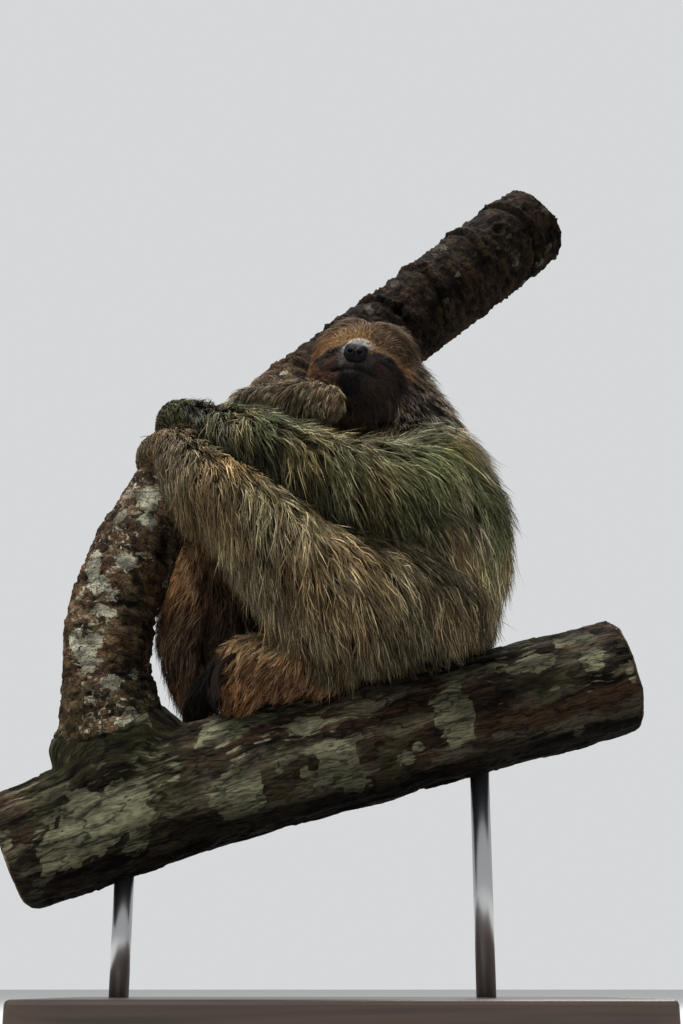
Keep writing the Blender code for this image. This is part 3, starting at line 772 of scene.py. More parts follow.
def hair_fields(co, region, axis, share, pairs):
    """Per-vertex flow, length, width, density and depth, evened over the skin."""
    on = lambda *names: is_in(region, *names)
    numbers = np.array([HAIR[name] for name in REGIONS], float)[region]
    size, along, weight = numbers[:, :4].copy(), numbers[:, 4:5], numbers[:, 5:]
    length, width, dense, depth = size.T
    x, y, z = co.T
    q = to_head(co)
    hx, hy, hz = q.T
    flow = -axis * along + DOWN * weight
    for name, way in FALL_OF.items():
        flow[on(name)] = way
    foot = on("foot_right")
    flow[foot] = mix(np.array([-0.55, -0.25, -0.8]), (-0.1, -0.2, -1.0), ramp(x, -0.104, -0.116)[foot])
    thin = on("arm_left", "leg_left") * ramp(share, 0.6, 0.8)
    size[:] = mix(size, HOOKED - np.outer(on("leg_left"), (1, 0, 0, 0)), thin)
    fringe = on("arm_left") * ramp(gap_to(co, "leg_left"), 0.022, 0.006)
    length *= 1 - 0.45 * fringe * ramp(share, 0.62, 0.5)
    edge = 0.323 + 0.333 * (x - 0.036)
    hem = on("trunk", "leg_left") & (y < 0.0) & (x > -0.01)
    length[hem] = np.minimum(length, 7 + 1000 * np.maximum(z - edge, 0))[hem]
    fore = on("fore_right") * ramp(share, 0.45, 0.8)
    flow = mix(flow, (-0.3, 0.0, -1.0), fore)
    length -= 6 * fore
    dense *= 1 + 0.8 * fore
    head = on("head")
    face = head * ramp(hy, 0, 14) * ramp(np.hypot(hx / 1.02, (hz + 8) / 0.98), 52, 38)
    brow = face * ramp(hz, 2, 22)
    hood = head_ways(0.8 * np.sign(hx), -0.45, -0.25) + DOWN * 0.75
    flow[head] = mix(unit(hood), unit(head_ways(hx, hy - 52, hz + 17)), face)[head]
    size[head] = (mix(HEAD_HAIR, FACE_HAIR, face) + brow[:, None] * BROW_MORE)[head]
    length -= 20 * on("neck") * ramp(hy, -6, 10)
    collar = collar_at(co) * ~on("arm_left", "head", "fore_right")
    size[:] = mix(size, size * (0, 1, 0, 0) + COLLAR_HAIR, collar)
    bare = 0
    for sign in EYES.values():
        centre, out, *_ = eye_frame(sign)
        bare = bare + bell(size_of(q - centre - 6 * out), 5.5, 4)
    bare = np.clip(bare, 0, 1)
    pad = bell(np.hypot(hx / 12.5, (hz + 16.5) / 10.0), 1, 6) * (hy > 40)
    off_mouth = np.where(np.abs(hx - 2) < 24, hz - mouth_line(hx), 60)
    near_lips = bell(off_mouth, 6.0) * (hy > 26)
    aside = head_ways(np.sign(hx), -0.3, 0.25 * np.sign(off_mouth))
    flow = mix(flow, unit(aside), near_lips * 0.85 * (np.abs(hx) > 2))
    length *= (1 - 0.45 * near_lips) * (1 - 0.5 * bare)
    dense *= 1 - 0.96 * np.clip(bare + pad + bell(off_mouth, 2.3) * (hy > 28), 0, 1)
    room = np.minimum(along_line(co, LIMB)[2], along_line(co, BRANCH)[2])
    dense *= np.maximum(ramp(room, 0.0005, 0.0045), 0.8 * on("shank_right", "leg_right"))
    length[:] = np.minimum(length, 6 + ramp(room, 0.001, 0.012) * 40)
    fields = np.column_stack([unit(flow), length, width, depth])
    for _ in range(EVENING_ROUNDS):
        total, count = fields.copy(), np.ones(len(co))
        for here, there in (pairs.T, pairs.T[::-1]):
            np.add.at(total, here, fields[there])
            np.add.at(count, here, 1)
        fields = total / count[:, None]
    flow, (length, width, depth) = fields[:, :3], fields[:, 3:].T
    calm = np.where(on("neck", "head"), 0.6, np.where(on("trunk"), 0.9, 1.3))
    flow = unit(flow) + swirl(co, 38, 41) * np.where(length > 12, calm, 0.5)[:, None]
    return unit(flow), length / 1000, width / 1000, dense * 1e4, depth / 1000


def sample(tris, co, dense, share_of):
    """Random places on the triangles, as many as the share of the density asks for."""
    a, b, c = (co[tris[:, k]] for k in range(3))
    area = size_of(np.cross(b - a, c - a)) / 2
    wanted = area * dense[tris].mean(axis=1) * share_of
    count = np.floor(wanted + RNG.random(len(wanted))).astype(int)
    face = np.repeat(np.arange(len(tris)), count)
    r = RNG.random((len(face), 2))
    flip = r.sum(axis=1) > 1
    r[flip] = 1 - r[flip]
    return face, np.column_stack([1 - r.sum(axis=1), r])


def at_places(values, corners, weights):
    """Values at places inside triangles, from those at their corners."""
    return (values[corners] * weights.reshape(len(weights), 3, *[1] * (values.ndim - 1))).sum(1)


def grow(root, normal, flow, length, depth, tree, face_flow, wander, steps=6):
    """The paths of guide hairs over the skin: points and the skin's normals under them."""
    n = len(root)
    height = depth * (0.3 + 0.75 * RNG.random(n))
    p, way, up = root.copy(), flow.copy(), normal.copy()
    paths, ups = [p.copy()], [up.copy()]
    stray = RNG.normal(0, wander, (n, 3)) * (0.35 + 0.65 * ramp(length, 0.008, 0.02))[:, None]
    for s in range(1, steps + 1):
        hang = ramp(-up[:, 2], 0.05, 0.75) * ramp(length, 0.014, 0.024)
        pull = unit(way - (way * up).sum(1)[:, None] * up * (1 - hang)[:, None] + stray)
        ahead = unit(pull + DOWN * (0.22 + 1.3 * hang)[:, None] * (length > 0.012)[:, None])
        free = p + ahead * (length / steps)[:, None]
        under, above, index = np.empty((n, 3)), np.empty((n, 3)), np.empty(n, int)
        for i, point in enumerate(free):
            under[i], above[i], index[i], _ = tree.find_nearest(point)
        rise = height * (s / steps) ** 0.55
        tall = ((free - under) * above).sum(1)
        want = rise + (np.maximum(tall, rise) - rise) * hang
        p = free + (under + above * want[:, None] - free) * (1 - 0.85 * hang)[:, None]
        low = ((p - under) * above).sum(1) < LOWEST
        p[low] = under[low] + above[low] * LOWEST
        p = from_perch(p)
        up = unit(up * 0.4 + above * 0.6)
        way = unit(way * 0.55 + face_flow[index] * 0.45)
        paths.append(p.copy())
        ups.append(up.copy())
    return np.stack(paths, 1), np.stack(ups, 1)


def resample(paths, ups, at):
    """Points at the given shares (hairs by rings) of each path."""
    steps = paths.shape[1] - 1
    place = np.clip(at * steps, 0, steps - 1e-6)
    i = place.astype(int)
    f = (place - i)[..., None]
    row = np.arange(len(paths))[:, None]
    points, over = (v[row, i] * (1 - f) + v[row, i + 1] * f for v in (paths, ups))
    return points, unit(over)


# A hair is three-sided and tapers over three rings to its tip.
LOWEST = 0.0006
PROFILE = np.array([0.8, 1.0, 0.6])
RINGS = len(PROFILE)
LEVELS = np.linspace(0, 1, RINGS + 1)
TIP = 3 * RINGS
SIDES = [(3 * i + k, 3 * i + (k + 1) % 3) for i in range(RINGS - 1) for k in range(3)]
TUFT = np.array([
    (0, 1, 2),
    *[face for a, b in SIDES for face in ((a, a + 3, b + 3), (a, b + 3, b))],
    *[(TIP - 3 + k, TIP, TIP - 3 + (k + 1) % 3) for k in range(3)],
])
THINNING = 0.94
LARGEST_PIECE = 196000
LONG_HAIR = 0.02
EVENING_ROUNDS = 12


def tufts(points, ups, width):
    """Vertices of the hairs, shaped (hairs, vertices, 3)."""
    along = unit(np.gradient(points, axis=1))
    side = unit(np.cross(along, ups))
    top = np.cross(side, along)
    half = (width[:, None] * PROFILE * 0.5)[..., None]
    p, side, top = points[:, :RINGS], side[:, :RINGS], top[:, :RINGS]
    ring = np.stack([p - side * half, p + side * half, p + top * half * 0.9], axis=2)
    return np.concatenate([ring.reshape(len(points), -1, 3), points[:, -1:]], axis=1)


def hairs(guides, loose, family, clump):
    """Splits each guide hair into a lock of several and returns all that a mesh needs."""
    root, normal, paths, ups, length, width, colours, uv = guides
    n = len(root) * family
    pick = np.repeat(np.arange(len(root)), family)
    across = unit(np.cross(normal, RNG.normal(size=(len(root), 3))))[pick]
    other = np.cross(normal[pick], across)
    spin = RNG.random(n) * 2 * math.pi
    spread = np.sqrt(RNG.random(n)) * clump[pick]
    offset = (np.cos(spin) * spread)[:, None] * across + (np.sin(spin) * spread)[:, None] * other
    size = 0.72 + 0.38 * RNG.random(n)
    points, over = resample(paths[pick], ups[pick], size[:, None] * LEVELS)
    share = LEVELS[None, :, None]
    closing = 1 - (0.3 + 0.55 * RNG.random(len(root)))[pick][:, None, None] * share**1.3
    points = points + offset[:, None] * closing
    points[:, 0] -= normal[pick] * 0.0012
    curl = 0.35 + 0.65 * ramp(length[pick], 0.008, 0.02)
    bend = RNG.normal(size=(n, 1, 3)) * (length[pick] * 0.07 * curl)[:, None, None]
    wild = np.where(RNG.random(n) < loose, 2.2, 1.0)[:, None, None]
    wave = RNG.normal(size=(n, 1, 3)) * (length[pick] * 0.026)[:, None, None]
    points = points + bend * wild * share**1.6 + wave * np.sin(share * math.pi * 2)
    points = from_perch(points.reshape(-1, 3), 0.0008).reshape(points.shape)
    fine = width[pick] * (0.5 + 0.75 * RNG.random(n) ** 1.5)
    verts = tufts(points, over, fine)
    tone = RNG.random(n)
    tone = np.clip(0.62 * tone + 0.38 * RNG.random(len(root))[pick], 0, 1)
    dark, middle, pale = colours[pick].transpose(1, 0, 2)
    body = mix(mix(middle, dark, ramp(tone, 0.46, 0.14)), pale, ramp(tone, 0.6, 0.86))
    body = body * (0.82 + 0.36 * RNG.random(n))[:, None]
    level = np.repeat(LEVELS, [3] * RINGS + [1])
    # Painted shade: each hair darker towards its root, deep in the coat.
    colour = body[:, None] * (0.34 + 0.66 * ramp(level, 0.0, 0.55))[:, None]
    patch = np.column_stack([level - 0.5, np.append(np.tile([-0.5, 0.5, 0.0], RINGS), 0.0)]) * 0.003
    place = uv[pick] + RNG.normal(0, 0.0012, (n, 2))
    return verts, colour, place[:, None] + patch


def coat_piece(name, verts, colour, uvs, material):
    """One joined mesh of hairs, with its colours and its map."""
    n, each = verts.shape[:2]
    faces = (np.arange(n)[:, None, None] * each + TUFT).reshape(-1, 3)
    mesh = new_mesh(name, verts.reshape(-1, 3), faces)
    paint(mesh, "coat", colour.reshape(-1, 3))
    layer = mesh.uv_layers.new(name="OFBake")
    layer.data.foreach_set("uv", uvs.reshape(-1, 2)[faces.ravel()].astype(np.float32).ravel())
    obj = new_object(name, mesh, material)
    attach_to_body(obj, "root")
    return obj


# For each group: its regions, how much the guide hairs wander, the share of loose hairs, the slot.
COAT_GROUPS = {
    "coat_trunk": (("trunk", "tail"), 0.14, 0.07, "coat_body"),
    "coat_neck": (("neck",), 0.09, 0.01, "coat_body"),
    "coat_arm_left": (("arm_left",), 0.15, 0.09, "coat_body"),
    "coat_leg_left": (("leg_left",), 0.15, 0.09, "coat_body"),
    "coat_far_arm": (("arm_right", "fore_right"), 0.15, 0.07, "coat_body"),
    "coat_far_leg": (("leg_right", "shank_right", "foot_right"), 0.15, 0.07, "coat_body"),
    "coat_head": (("head",), 0.09, 0.01, "coat_face"),
}


def make_coat(mesh, region, axis, share, uv, colours, material):
    co, normals = coordinates(mesh), vertex_normals(mesh)
    pairs = read(mesh.edges, "vertices", 2, np.int32)
    flow, length, width, dense, depth = hair_fields(co, region, axis, share, pairs)
    mesh.calc_loop_triangles()
    tris, loops = (read(mesh.loop_triangles, key, 3, np.int32) for key in ("vertices", "loops"))
    tree = BVHTree.FromPolygons(co.tolist(), tris.tolist())
    face_flow = unit(flow[tris].mean(axis=1))
    for group, (names, wander, loose, slot) in COAT_GROUPS.items():
        mine = is_in(region[tris[:, 0]], *names)
        chosen = tris[mine]
        family = 6 if length[chosen].mean() > LONG_HAIR else 3
        face, weights = sample(chosen, co, dense, THINNING / family)
        pick = lambda values: at_places(values, chosen[face], weights)
        root, normal, way = pick(co), unit(pick(normals)), pick(flow)
        hair_length = pick(length) * (0.8 + 0.35 * RNG.random(len(face)))
        paths, ups = grow(root, normal, unit(way), hair_length, pick(depth), tree, face_flow, wander)
        place = at_places(uv, loops[mine][face], weights)
        guides = (root, normal, paths, ups, hair_length, pick(width), pick(colours), place)
        clump = np.sqrt(family / np.maximum(pick(dense), 1e3)) * 0.75
        verts, colour, uvs = hairs(guides, loose, family, clump)
        parts = math.ceil(len(verts) * len(TUFT) / LARGEST_PIECE)
        order = np.argsort(verts[:, 0, 2], kind="stable")
        for k, rows in enumerate(np.array_split(order, parts)):
            name = f"{group}_{k + 1}" if parts > 1 else group
            piece = coat_piece(name, verts[rows], colour[rows], uvs[rows], material)


# ---- materials


def node(mat, kind, **values):
    """A new shader node, its inputs set to values or fed from another node's output."""
    made = mat.node_tree.nodes.new("ShaderNode" + kind)
    for name, value in values.items():
        socket = made.inputs[name.replace("_", " ")]
        if isinstance(value, bpy.types.NodeSocket):
            mat.node_tree.links.new(value, socket)
        else:
            socket.default_value = value
    return made


def attribute(mat, name, output="Color"):
    source = node(mat, "Attribute")
    source.attribute_name = name
    return source.outputs[output]


def grain_noise(mat, scale, detail):
    """Noise in the space that runs with the bark's grain."""
    grain = attribute(mat, "grain", "Vector")
    return node(mat, "TexNoise", Vector=grain, Scale=scale, Detail=detail).outputs["Fac"]


def tones_of(mat, value, *stops):
    """Tones for a value, from (place, grey or colour) stops."""
    tones = node(mat, "ValToRGB", Fac=value)
    elements = tones.color_ramp.elements
    while len(elements) < len(stops):
        elements.new(0.5)
    for element, (place, tone) in zip(elements, stops):
        element.position = place
        element.color = (*(np.ones(3) * tone), 1)
    return tones.outputs["Color"]


def mixed(mat, kind, first, second, factor=None):
    """A colour mix node: factor 1 unless a socket is given."""
    both = node(mat, "Mix")
    both.data_type = "RGBA"
    both.blend_type = kind
    both.inputs[0].default_value = 1.0
    links = mat.node_tree.links
    for index, socket in ((0, factor), (6, first), (7, second)):
        if socket is not None:
            links.new(socket, both.inputs[index])
    return both.outputs[2]


def bark_colour(mat, shader):
    """Bark and lichen from vertex colours, with ragged lichen edges, cracks and fine grain."""
    cover = attribute(mat, "cover", "Fac")
    ragged = node(mat, "Math")
    ragged.operation = "MULTIPLY_ADD"
    ragged.inputs[1].default_value = 1.5
    mat.node_tree.links.new(grain_noise(mat, 260.0, 5.0), ragged.inputs[0])
    mat.node_tree.links.new(cover, ragged.inputs[2])
    sharp = node(mat, "MapRange", Value=ragged.outputs[0], From_Min=1.17, From_Max=1.27).outputs["Result"]
    colour = mixed(mat, "MIX", attribute(mat, "coat"), attribute(mat, "crust"), sharp)
    cracks = ((0.44, 1.0), (0.475, 0.32), (0.49, 0.32), (0.52, 1.0))
    plates = ((0.44, 0.48), (0.56, 1.0))
    fine = ((0.36, 0.42), (0.6, 1.0))
    for scale, detail, stops in ((105.0, 5.0, cracks), (62.0, 8.0, plates), (650.0, 6.0, fine)):
        colour = mixed(mat, "MULTIPLY", colour, tones_of(mat, grain_noise(mat, scale, detail), *stops))
    mat.node_tree.links.new(colour, shader.inputs["Base Color"])


# For each material: a colour or the attribute that holds it, roughness, specular level, metal, and
# its bump: scale, strength, distance, stretch.
MATERIALS = {
    "fur": ("coat", 0.62, 0.16, 0),
    "skin": ("coat", 0.75, 0.16, 0, 900.0, 0.7, 0.0012),
    "eye": ((0.008, 0.005, 0.004), 0.22, 0.04, 0),
    "nose_leather": ("coat", 0.5, 0.05, 0, 1500.0, 0.5, 0.0004),
    "claw": ((0.11, 0.075, 0.045), 0.45, 0.5, 0, 260.0, 0.35, 0.0005),
    # The far foot's claws, near black as painted shade under the foot.
    "claw_shaded": ((0.012, 0.008, 0.006), 0.9, 0.08, 0),
    "bark": ("coat", 0.85, 0.05, 0, 420.0, 1.0, 0.0022),
    "steel": ((0.42, 0.42, 0.43), 0.32, 0.5, 1),
    "board": ((0.8, 0.8, 0.8), 0.42, 0.5, 0, 60.0, 0.12, 0.0006, (0.35, 6.0, 6.0)),
    "floor": ((0.55, 0.55, 0.54), 0.9, 0.5, 0),
}


def new_material(name, colour, roughness, specular, metal, *bump):
    """A Principled material, with a bump of noise where its measures are given."""
    mat = bpy.data.materials.new(name)
    mat.use_nodes = True
    shader = mat.node_tree.nodes["Principled BSDF"]
    shader.inputs["Roughness"].default_value = roughness
    shader.inputs["Specular IOR Level"].default_value = specular
    shader.inputs["Metallic"].default_value = metal
    links = mat.node_tree.links
    if colour == "coat":
        links.new(attribute(mat, "coat"), shader.inputs["Base Color"])
    else:
        shader.inputs["Base Color"].default_value = (*colour, 1.0)
    if not bump:
        return mat
    scale, strength, distance, stretch = (*bump, (1, 1, 1))[:4]
    grain = name == "bark"
    place = attribute(mat, "grain", "Vector") if grain else node(mat, "TexCoord").outputs["Object"]
    turn = node(mat, "Mapping", Vector=place, Scale=stretch).outputs["Vector"]
    cells = node(mat, "TexNoise", Vector=turn, Scale=scale, Detail=5.0).outputs["Fac"]
    bump = node(mat, "Bump", Height=cells, Strength=strength, Distance=distance)
    links.new(bump.outputs["Normal"], shader.inputs["Normal"])
    if grain:
        bark_colour(mat, shader)
    if name == "board":
        figure = node(mat, "TexNoise", Vector=turn, Scale=9.0, Detail=8.0, Distortion=0.6).outputs["Fac"]
        tones = tones_of(mat, figure, (0.34, (0.02, 0.011, 0.007)), (0.68, (0.07, 0.04, 0.024)))
        links.new(tones, shader.inputs["Base Color"])
    return mat


# ---- eyes, nose, claws


def make_eyes(material):
    for side, sign in EYES.items():
        mesh = ball(from_head(eye_frame(sign)[0]), np.full(3, EYE_BALL / 1000), HEAD_TURN, 24)
        mesh.shade_smooth()
        obj = new_object(f"eyeball_{side}", mesh, material)
        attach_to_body(obj, "root")
        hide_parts(f"eye_{side}")


def make_nose(material):
    """The leathery pad with its two nostrils and the groove between them."""
    mesh = ball(np.zeros(3), np.ones(3), None, 64)
    d = coordinates(mesh)
    front = ramp(d[:, 1], 0.0, 0.5)
    d[:, 1] = np.sign(d[:, 1]) * np.abs(d[:, 1]) ** 0.72
    square = 1 + 0.15 * np.sin(2 * np.arctan2(d[:, 2], d[:, 0])) ** 2
    q = d * NOSE_RADII * square[:, None]
    q[:, 0] *= 1 - 0.22 * ramp(-q[:, 2], 2, 9)
    x, z = q[:, 0], q[:, 2]
    deep = np.zeros(len(q))
    for sign in (-1, 1):
        u, v = x - NOSTRIL_OUT * sign, z + NOSTRIL_DOWN
        hole = np.hypot(u * 0.8 + v * 0.25 * sign, v * 1.05 - u * 0.25 * sign)
        q[:, 1] += front * (0.75 * bell(hole - 3.1, 1.0) - 3.4 * bell(hole, 1.9, 4))
        deep = np.maximum(deep, ramp(np.hypot(u * 0.85, v * 1.1), 2.4, 1.2))
    q[:, 1] -= front * 0.8 * bell(x, 0.8) * ramp(-z, -1, 3)
    q[:, 1] += front * (noise(q + 90, 0.9, 4) - 0.5) * 0.35
    # Painted shade in the nostrils.
    tone = (0.75 + 0.5 * noise(q + 50, 0.5, 6)) * (1 - 0.8 * deep * front)
    move_vertices(mesh, from_head(q + NOSE_CENTRE))
    paint(mesh, "coat", tone[:, None] * (0.0055, 0.0055, 0.0068))
    mesh.shade_smooth()
    obj = new_object("nose_pad", mesh, material)
    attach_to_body(obj, "root")
    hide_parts("nose")


def dress(node_name, material, levels=0):
    """A node as packed, with a finer material and, where it is round, rounder."""
    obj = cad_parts[node_name]
    obj.material_slots[0].link = "OBJECT"
    obj.material_slots[0].material = material
    if levels:
        obj.modifiers.new("weld", "WELD").merge_threshold = 0.00002
        round_off = obj.modifiers.new("round", "SUBSURF")
        round_off.levels = levels
        round_off.render_levels = levels


# ---- perch and stand

# The larger lichens: on the limb (1) or the branch (0), how far along (mm), how far round from the
# near side over the top (degrees), length and height (mm).
LICHENS = [
    (0, 90, -6, 42, 30), (0, 52, -30, 20, 14), (0, 226, 42, 38, 13), (0, 214, -26, 26, 20),
    (0, 312, -26, 25, 20), (0, 425, -4, 20, 27), (0, 290, 22, 17, 8), (0, 400, 42, 22, 7),
    (0, 455, 36, 26, 8), (0, 505, 26, 24, 9), (0, 150, 60, 15, 8), (0, 560, 44, 16, 9),
    (1, 282, 13, 11, 13), (1, 258, -4, 9, 10), (1, 256, 33, 9, 9), (1, 214, -2, 8, 15),
    (1, 203, 40, 15, 16), (1, 186, 16, 9, 13), (1, 162, -4, 7, 18), (1, 133, 80, 13, 9),
    (1, 140, 36, 8, 9), (1, 134, 6, 8, 9), (1, 112, 14, 20, 17), (1, 86, -8, 9, 14),
    (1, 372, 30, 12, 10), (1, 400, -24, 11, 9), (1, 345, 12, 9, 8), (1, 600, 6, 9, 9),
    (1, 566, -14, 9, 5), (1, 680, 40, 5, 5), (1, 757, 46, 7, 12), (1, 740, -12, 5, 6),
]
# Leaf scars and creases, by how far along the limb (m), and knots: how far along (m), degrees round,
# size (mm).
SCARS = (0.5, 0.575, 0.64, 0.7, 0.775, 0.84, 0.905)
CREASES = (0.105, 0.185, 0.262, 0.41)
KNOTS = [
    (0.56, -30, 9), (0.655, -2, 8), (0.72, 30, 6), (0.82, 5, 7), (0.9, -28, 8), (0.61, 62, 6),
]
RING_PERIOD = 0.0085
BARK_DARK = (0.008, 0.006, 0.005)
MOSS = (0.058, 0.06, 0.025)


def turned(turn, degrees):
    """Angles round a line from a place on it, between minus pi and pi."""
    return np.mod(turn - math.radians(degrees) + math.pi, 2 * math.pi) - math.pi


def lichens(p, ring, limb, s, turn):
    """Where lichen grows: the large ones listed, and small ones strewn at random."""
    ragged = (cloud(ring, 48, 3, 33) - 0.5) * 1.7 + (cloud(ring, 230, 2, 35) - 0.5) * 0.6
    patch = np.zeros(len(p))
    for on_limb, along, degrees, wide, high in LICHENS:
        away = np.hypot((s * 1000 - along) / wide, turned(turn, degrees) * 52 / high)
        patch = np.maximum(patch, ramp(away + ragged, 1.24, 0.72) * (limb == bool(on_limb)))
    bare = patch < 0.5
    rng = np.random.default_rng(5)
    for k in rng.choice(len(p), 190, replace=False):
        lower = not limb[k] or s[k] < 0.45
        size = rng.uniform(3, 13 if lower else 6) / 1000
        near = ramp(size_of((p - p[k])) / size + ragged, 1.2, 0.72)
        full = p[k, 1] > 0.012 or not lower
        patch = np.maximum(patch, near * bare * (0.9 if full else 0.55))
    return patch


def make_perch(material):
    """Branch and limb as one skin of bark: its relief, its colours, its lichen and its painted shade."""
    meshes = []
    for name in ("perch_branch", "perch_limb"):
        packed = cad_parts[name]
        meshes.append(packed.data.copy())
        meshes[-1].transform(packed.matrix_world)
    obj = remeshed("bark", meshes, BARK_VOXEL, 6)
    mesh = obj.data
    co, normals = coordinates(mesh), vertex_normals(mesh)
    s1, t1, d1 = along_line(co, LIMB)
    s2, t2, d2 = along_line(co, BRANCH)
    fork = d1 + 0.026 * ramp(s1, 0.11, 0.045) - d2
    limb = fork < 0
    s, turn = np.where(limb, s1, s2), np.where(limb, t1, t2)
    either = lambda on_limb, on_branch: np.where(limb[:, None], on_limb, on_branch)
    ring = np.column_stack([s, 0.05 * np.cos(turn), 0.05 * np.sin(turn)]) + 0.006 * swirl(co, 45, 61)
    upper = limb * ramp(s, 0.46, 0.56)
    grain = ring * either((1.4, 0.6, 0.6), (0.18, 1.0, 1.0))
    fibre, flakes, lumps = cloud(grain, 230, 3, 3), cloud(grain, 95, 3, 4), cloud(ring, 22, 3, 8)
    pits = ramp(cloud(ring, 150, 2, 14), 0.62, 0.75)
    scars = np.zeros(len(co))
    rng = np.random.default_rng(8)
    for along in SCARS:
        face_at = rng.uniform(-0.6, 0.9)
        off = s - along - 0.02 * np.cos(turn - face_at) - 0.004 * (lumps - 0.5)
        lip = bell(off, 0.0028) - 0.7 * bell(off + 0.006, 0.003)
        scars += lip * ramp(np.cos(turn - face_at), -0.2, 0.5) * limb
    for along in CREASES:
        scars -= 0.7 * bell(s - along - 0.006 * (np.cos(turn - 0.4) + lumps - 0.5), 0.0022) * limb
    knots, rims = np.zeros(len(co)), np.zeros(len(co))
    for along, degrees, size in KNOTS:
        far = np.hypot((s - along) * 1000, turned(turn, degrees) * 50) / size + (lumps - 0.5) * 0.5
        knots = np.maximum(knots, bell(far, 0.75, 4) * limb)
        rims = np.maximum(rims, bell(far - 1.15, 0.32) * limb)
    patch = lichens(co, ring, limb, s, turn)
    rough = (fibre - 0.5) * 0.0036 + ramp(flakes, 0.44, 0.56) * 0.0018 - pits * 0.0014
    push = rough * (1 - 0.45 * upper) * (1 - 0.55 * patch) + patch * 0.0007 - 0.0014
    push += (lumps - 0.5) * (0.007 - 0.0035 * upper) + scars * (0.002 + 0.0016 * upper)
    push += ramp(cloud(ring, 300, 2, 91), 0.56, 0.7) * upper * 0.0016 + rims * 0.0022 - knots * 0.0036
    ends = np.zeros(len(co))
    for line in (LIMB, BRANCH):
        line = np.array(line)[:, :3]
        for a, b in (line[:2], line[:-3:-1]):
            near = (normals @ unit(a - b) > 0.75) & (size_of(co - a) < 0.075)
            ends = np.maximum(ends, near)
    # The branch's colours are darker copies of the limb's: partly its own darker bark, partly painted
    # shade on the lower branch.
    brown = either((0.1, 0.06, 0.034), (0.042, 0.03, 0.018))
    red = either((0.178, 0.094, 0.048), (0.06, 0.033, 0.018))
    grey = either((0.215, 0.145, 0.082), (0.13, 0.106, 0.072))
    lichen = mix(either((0.36, 0.335, 0.245), (0.168, 0.16, 0.098)), (0.26, 0.23, 0.165), upper)
    lichen = lichen * (0.7 + 0.6 * ramp(cloud(grain, 70, 3, 37), 0.35, 0.65))[:, None]
    foot = limb * ramp(s1 + 0.04 * (lumps - 0.5), 0.105, 0.06)
    foot = np.maximum(foot, ~limb * ramp(d1, 0.03, 0.006) * ramp(turn, -0.3, 0.3))
    colour = mix(np.array(BARK_DARK), brown, ramp(0.5 * fibre + 0.5 * flakes, 0.36, 0.58))
    for tone, share in (
        (red, ramp(cloud(grain, 42, 3, 25), 0.5, 0.62) * 0.7 * (1 - 0.9 * upper)),
        (grey, ramp(cloud(grain, 85, 3, 27), 0.52, 0.62) * 0.85 * (1 - 0.75 * upper)),
        (MOSS, ramp(cloud(ring, 28, 2, 29), 0.58, 0.7) * 0.4 * (1 - upper) * (0.5 + 0.5 * ~limb)),
        (MOSS, foot * ramp(flakes, 0.4, 0.55) * 0.5),
    ):
        colour = mix(colour, tone, share)
    # Painted shade on the bark: in the creases, on the branch's right part and underside, on the limb's
    # right side, a painted shadow under the fur and shade in the fork; the upper limb and the knots are
    # darker and the knots' rims lighter.
    shade = 1 - 0.6 * ramp(-scars, 0.25, 0.9) - 0.35 * ramp(-scars, 0.1, 0.5) * upper
    fur_shadow = ~limb * ramp(turn, 0.3, 0.75) * ramp(co[:, 0], -0.12, -0.05) * ramp(co[:, 0], 0.19, 0.14)
    for mask, gain in (
        (~limb * ramp(s, 0.27, 0.5), -0.3),
        (~limb * ramp(-turn, 0.35, 1.15), -0.84),
        (limb * (1 - upper) * ramp(-turn, 0.15, 0.75), -0.55),
        (fur_shadow, -0.6),
        (foot, -0.15),
        (upper, -0.7),
        (knots, -0.75),
        (rims, 0.25),
    ):
        shade *= 1 + gain * mask
    deep = -np.minimum(d1, d2) + 0.004 * (cloud(co, 60, 2, 77) - 0.5)
    rings = 0.5 + 0.5 * np.sin(deep * 2 * math.pi / RING_PERIOD)
    wood = mix(np.array([0.2, 0.13, 0.07]), (0.36, 0.26, 0.15), rings)
    move_vertices(mesh, co + normals * (push * (1 - 0.85 * ends))[:, None])
    unjoined = 1 - bell(fork, 0.01) * (np.maximum(d1, d2) < 0.02)
    strewn = ramp(cloud(ring, 26, 3, 93), 0.46, 0.62) * np.where(limb, 0.34, 0.36 * ramp(turn, -0.7, 0.0))
    patch = np.maximum(patch, strewn * (1 - 0.75 * upper)) * (1 - ends) * unjoined
    paint(mesh, "coat", mix(colour * shade[:, None], wood, ends))
    paint(mesh, "crust", lichen * shade[:, None])
    attach(mesh, "cover", "FLOAT", "value", patch)
    attach(mesh, "grain", "FLOAT_VECTOR", "vector", mix(grain, co * 0.25, ends))
    mesh.shade_smooth()
    mesh.materials.clear()
    mesh.materials.append(material)
    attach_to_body(obj, "root")
    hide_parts("perch_branch", "perch_limb")


def make_stand(steel, board):
    for side in ("left", "right"):
        low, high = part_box(f"stand_rod_{side}")
        shape = bmesh.new()
        reach = (high[0] - low[0]) / 2
        tall = high[2] - low[2]
        bmesh.ops.create_cone(shape, cap_ends=True, segments=48, radius1=reach, radius2=reach, depth=tall)
        mesh = mesh_from(shape, f"rod_{side}")
        for face in mesh.polygons:
            face.use_smooth = len(face.vertices) == 4
        obj = new_object(f"rod_{side}", mesh, steel)
        obj.location = (Vector(low) + Vector(high)) / 2
        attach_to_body(obj, "root")
        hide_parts(f"stand_rod_{side}")
    dress("stand_base", board)


# ---- stage

AIM = Vector((0.0, 0.0, 0.5))
FLOOR_REACH = 30
# Name, place, size and power.
LAMPS = (
    ("key", (-0.8, -0.8, 2.7), 0.9, 70.0),
    ("top", (0.2, 0.3, 2.9), 1.6, 80.0),
    ("back", (0.6, 1.8, 2.3), 1.2, 34.0),
)
CAMERA_DISTANCE, CAMERA_TILT, HALF_VIEW = 1.42, math.radians(18.5), 0.512


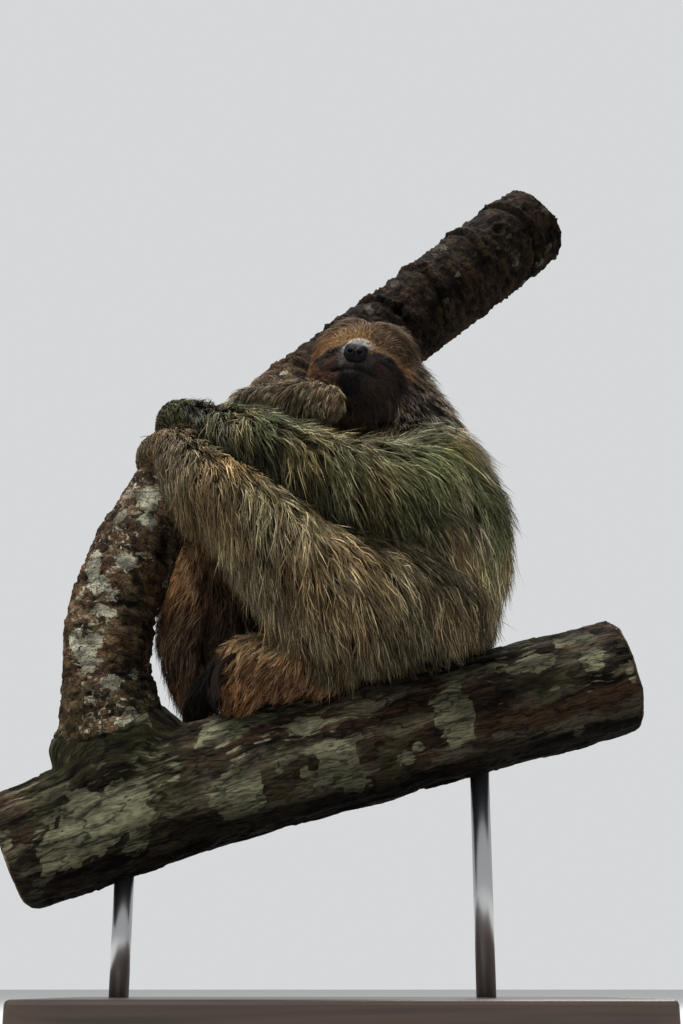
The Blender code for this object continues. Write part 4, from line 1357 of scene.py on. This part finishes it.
def make_stage(material):
    corners = np.array([(-1, -1, 0), (1, -1, 0), (1, 1, 0), (-1, 1, 0)], float) * FLOOR_REACH
    floor = new_object("floor", new_mesh("floor", corners, np.array([(0, 1, 2, 3)])), material)
    world = bpy.data.worlds.new("studio")
    bpy.context.scene.world = world
    world.use_nodes = True
    back = world.node_tree.nodes["Background"]
    back.inputs["Color"].default_value = (0.93, 0.95, 0.96, 1.0)
    back.inputs["Strength"].default_value = 0.72
    for name, place, size, power in LAMPS:
        lamp = bpy.data.lights.new(name, "AREA")
        lamp.shape = "DISK"
        lamp.size = size
        lamp.energy = power
        obj = new_object(name, lamp)
        obj.location = place
        obj.rotation_euler = (AIM - Vector(place)).to_track_quat("-Z", "Y").to_euler()


def make_camera():
    data = bpy.data.cameras.new("camera")
    data.sensor_fit = "VERTICAL"
    data.angle = 2 * math.atan(HALF_VIEW / CAMERA_DISTANCE)
    data.clip_start = 0.05
    obj = new_object("camera", data)
    obj.location = AIM - CAMERA_DISTANCE * Vector((0.0, math.cos(CAMERA_TILT), math.sin(CAMERA_TILT)))
    obj.rotation_euler = (math.radians(90) + CAMERA_TILT, 0.0, 0.0)
    bpy.context.scene.camera = obj


# ---- all of it

mats = {name: new_material(name, *values) for name, values in MATERIALS.items()}
skin = make_skin()
skin_co = coordinates(skin.data)
region, axis, share = locate(skin_co)
colours = markings(skin_co, region, share)
# The skin takes the coat's darker colours, darkened further as painted shade deep in the coat, less on the
# head.
under_coat_shade = mix(colours[:, 1], colours[:, 0], np.full(len(colours), 0.45))
paint(skin.data, "coat", under_coat_shade * np.where(is_in(region, "head"), 0.62, 0.45)[:, None])
skin_uv = unwrap(skin, "OFBake")
skin.data.shade_smooth()
skin.data.materials.clear()
skin.data.materials.append(mats["skin"])
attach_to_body(skin, "root")
CLAWS = [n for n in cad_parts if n.startswith("claw_")]
KEPT = ("perch_", "stand_", "claw_", "eye_", "nose")
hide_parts(*[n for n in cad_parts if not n.startswith(KEPT)])
make_coat(skin.data, region, axis, share, skin_uv, colours, mats["fur"])
make_eyes(mats["eye"])
make_nose(mats["nose_leather"])
for claw in CLAWS:
    dress(claw, mats["claw_shaded" if "foot_right" in claw else "claw"], 2)
make_perch(mats["bark"])
make_stand(mats["steel"], mats["board"])
make_stage(mats["floor"])
make_camera()
bpy.context.scene.view_settings.view_transform = "Standard"
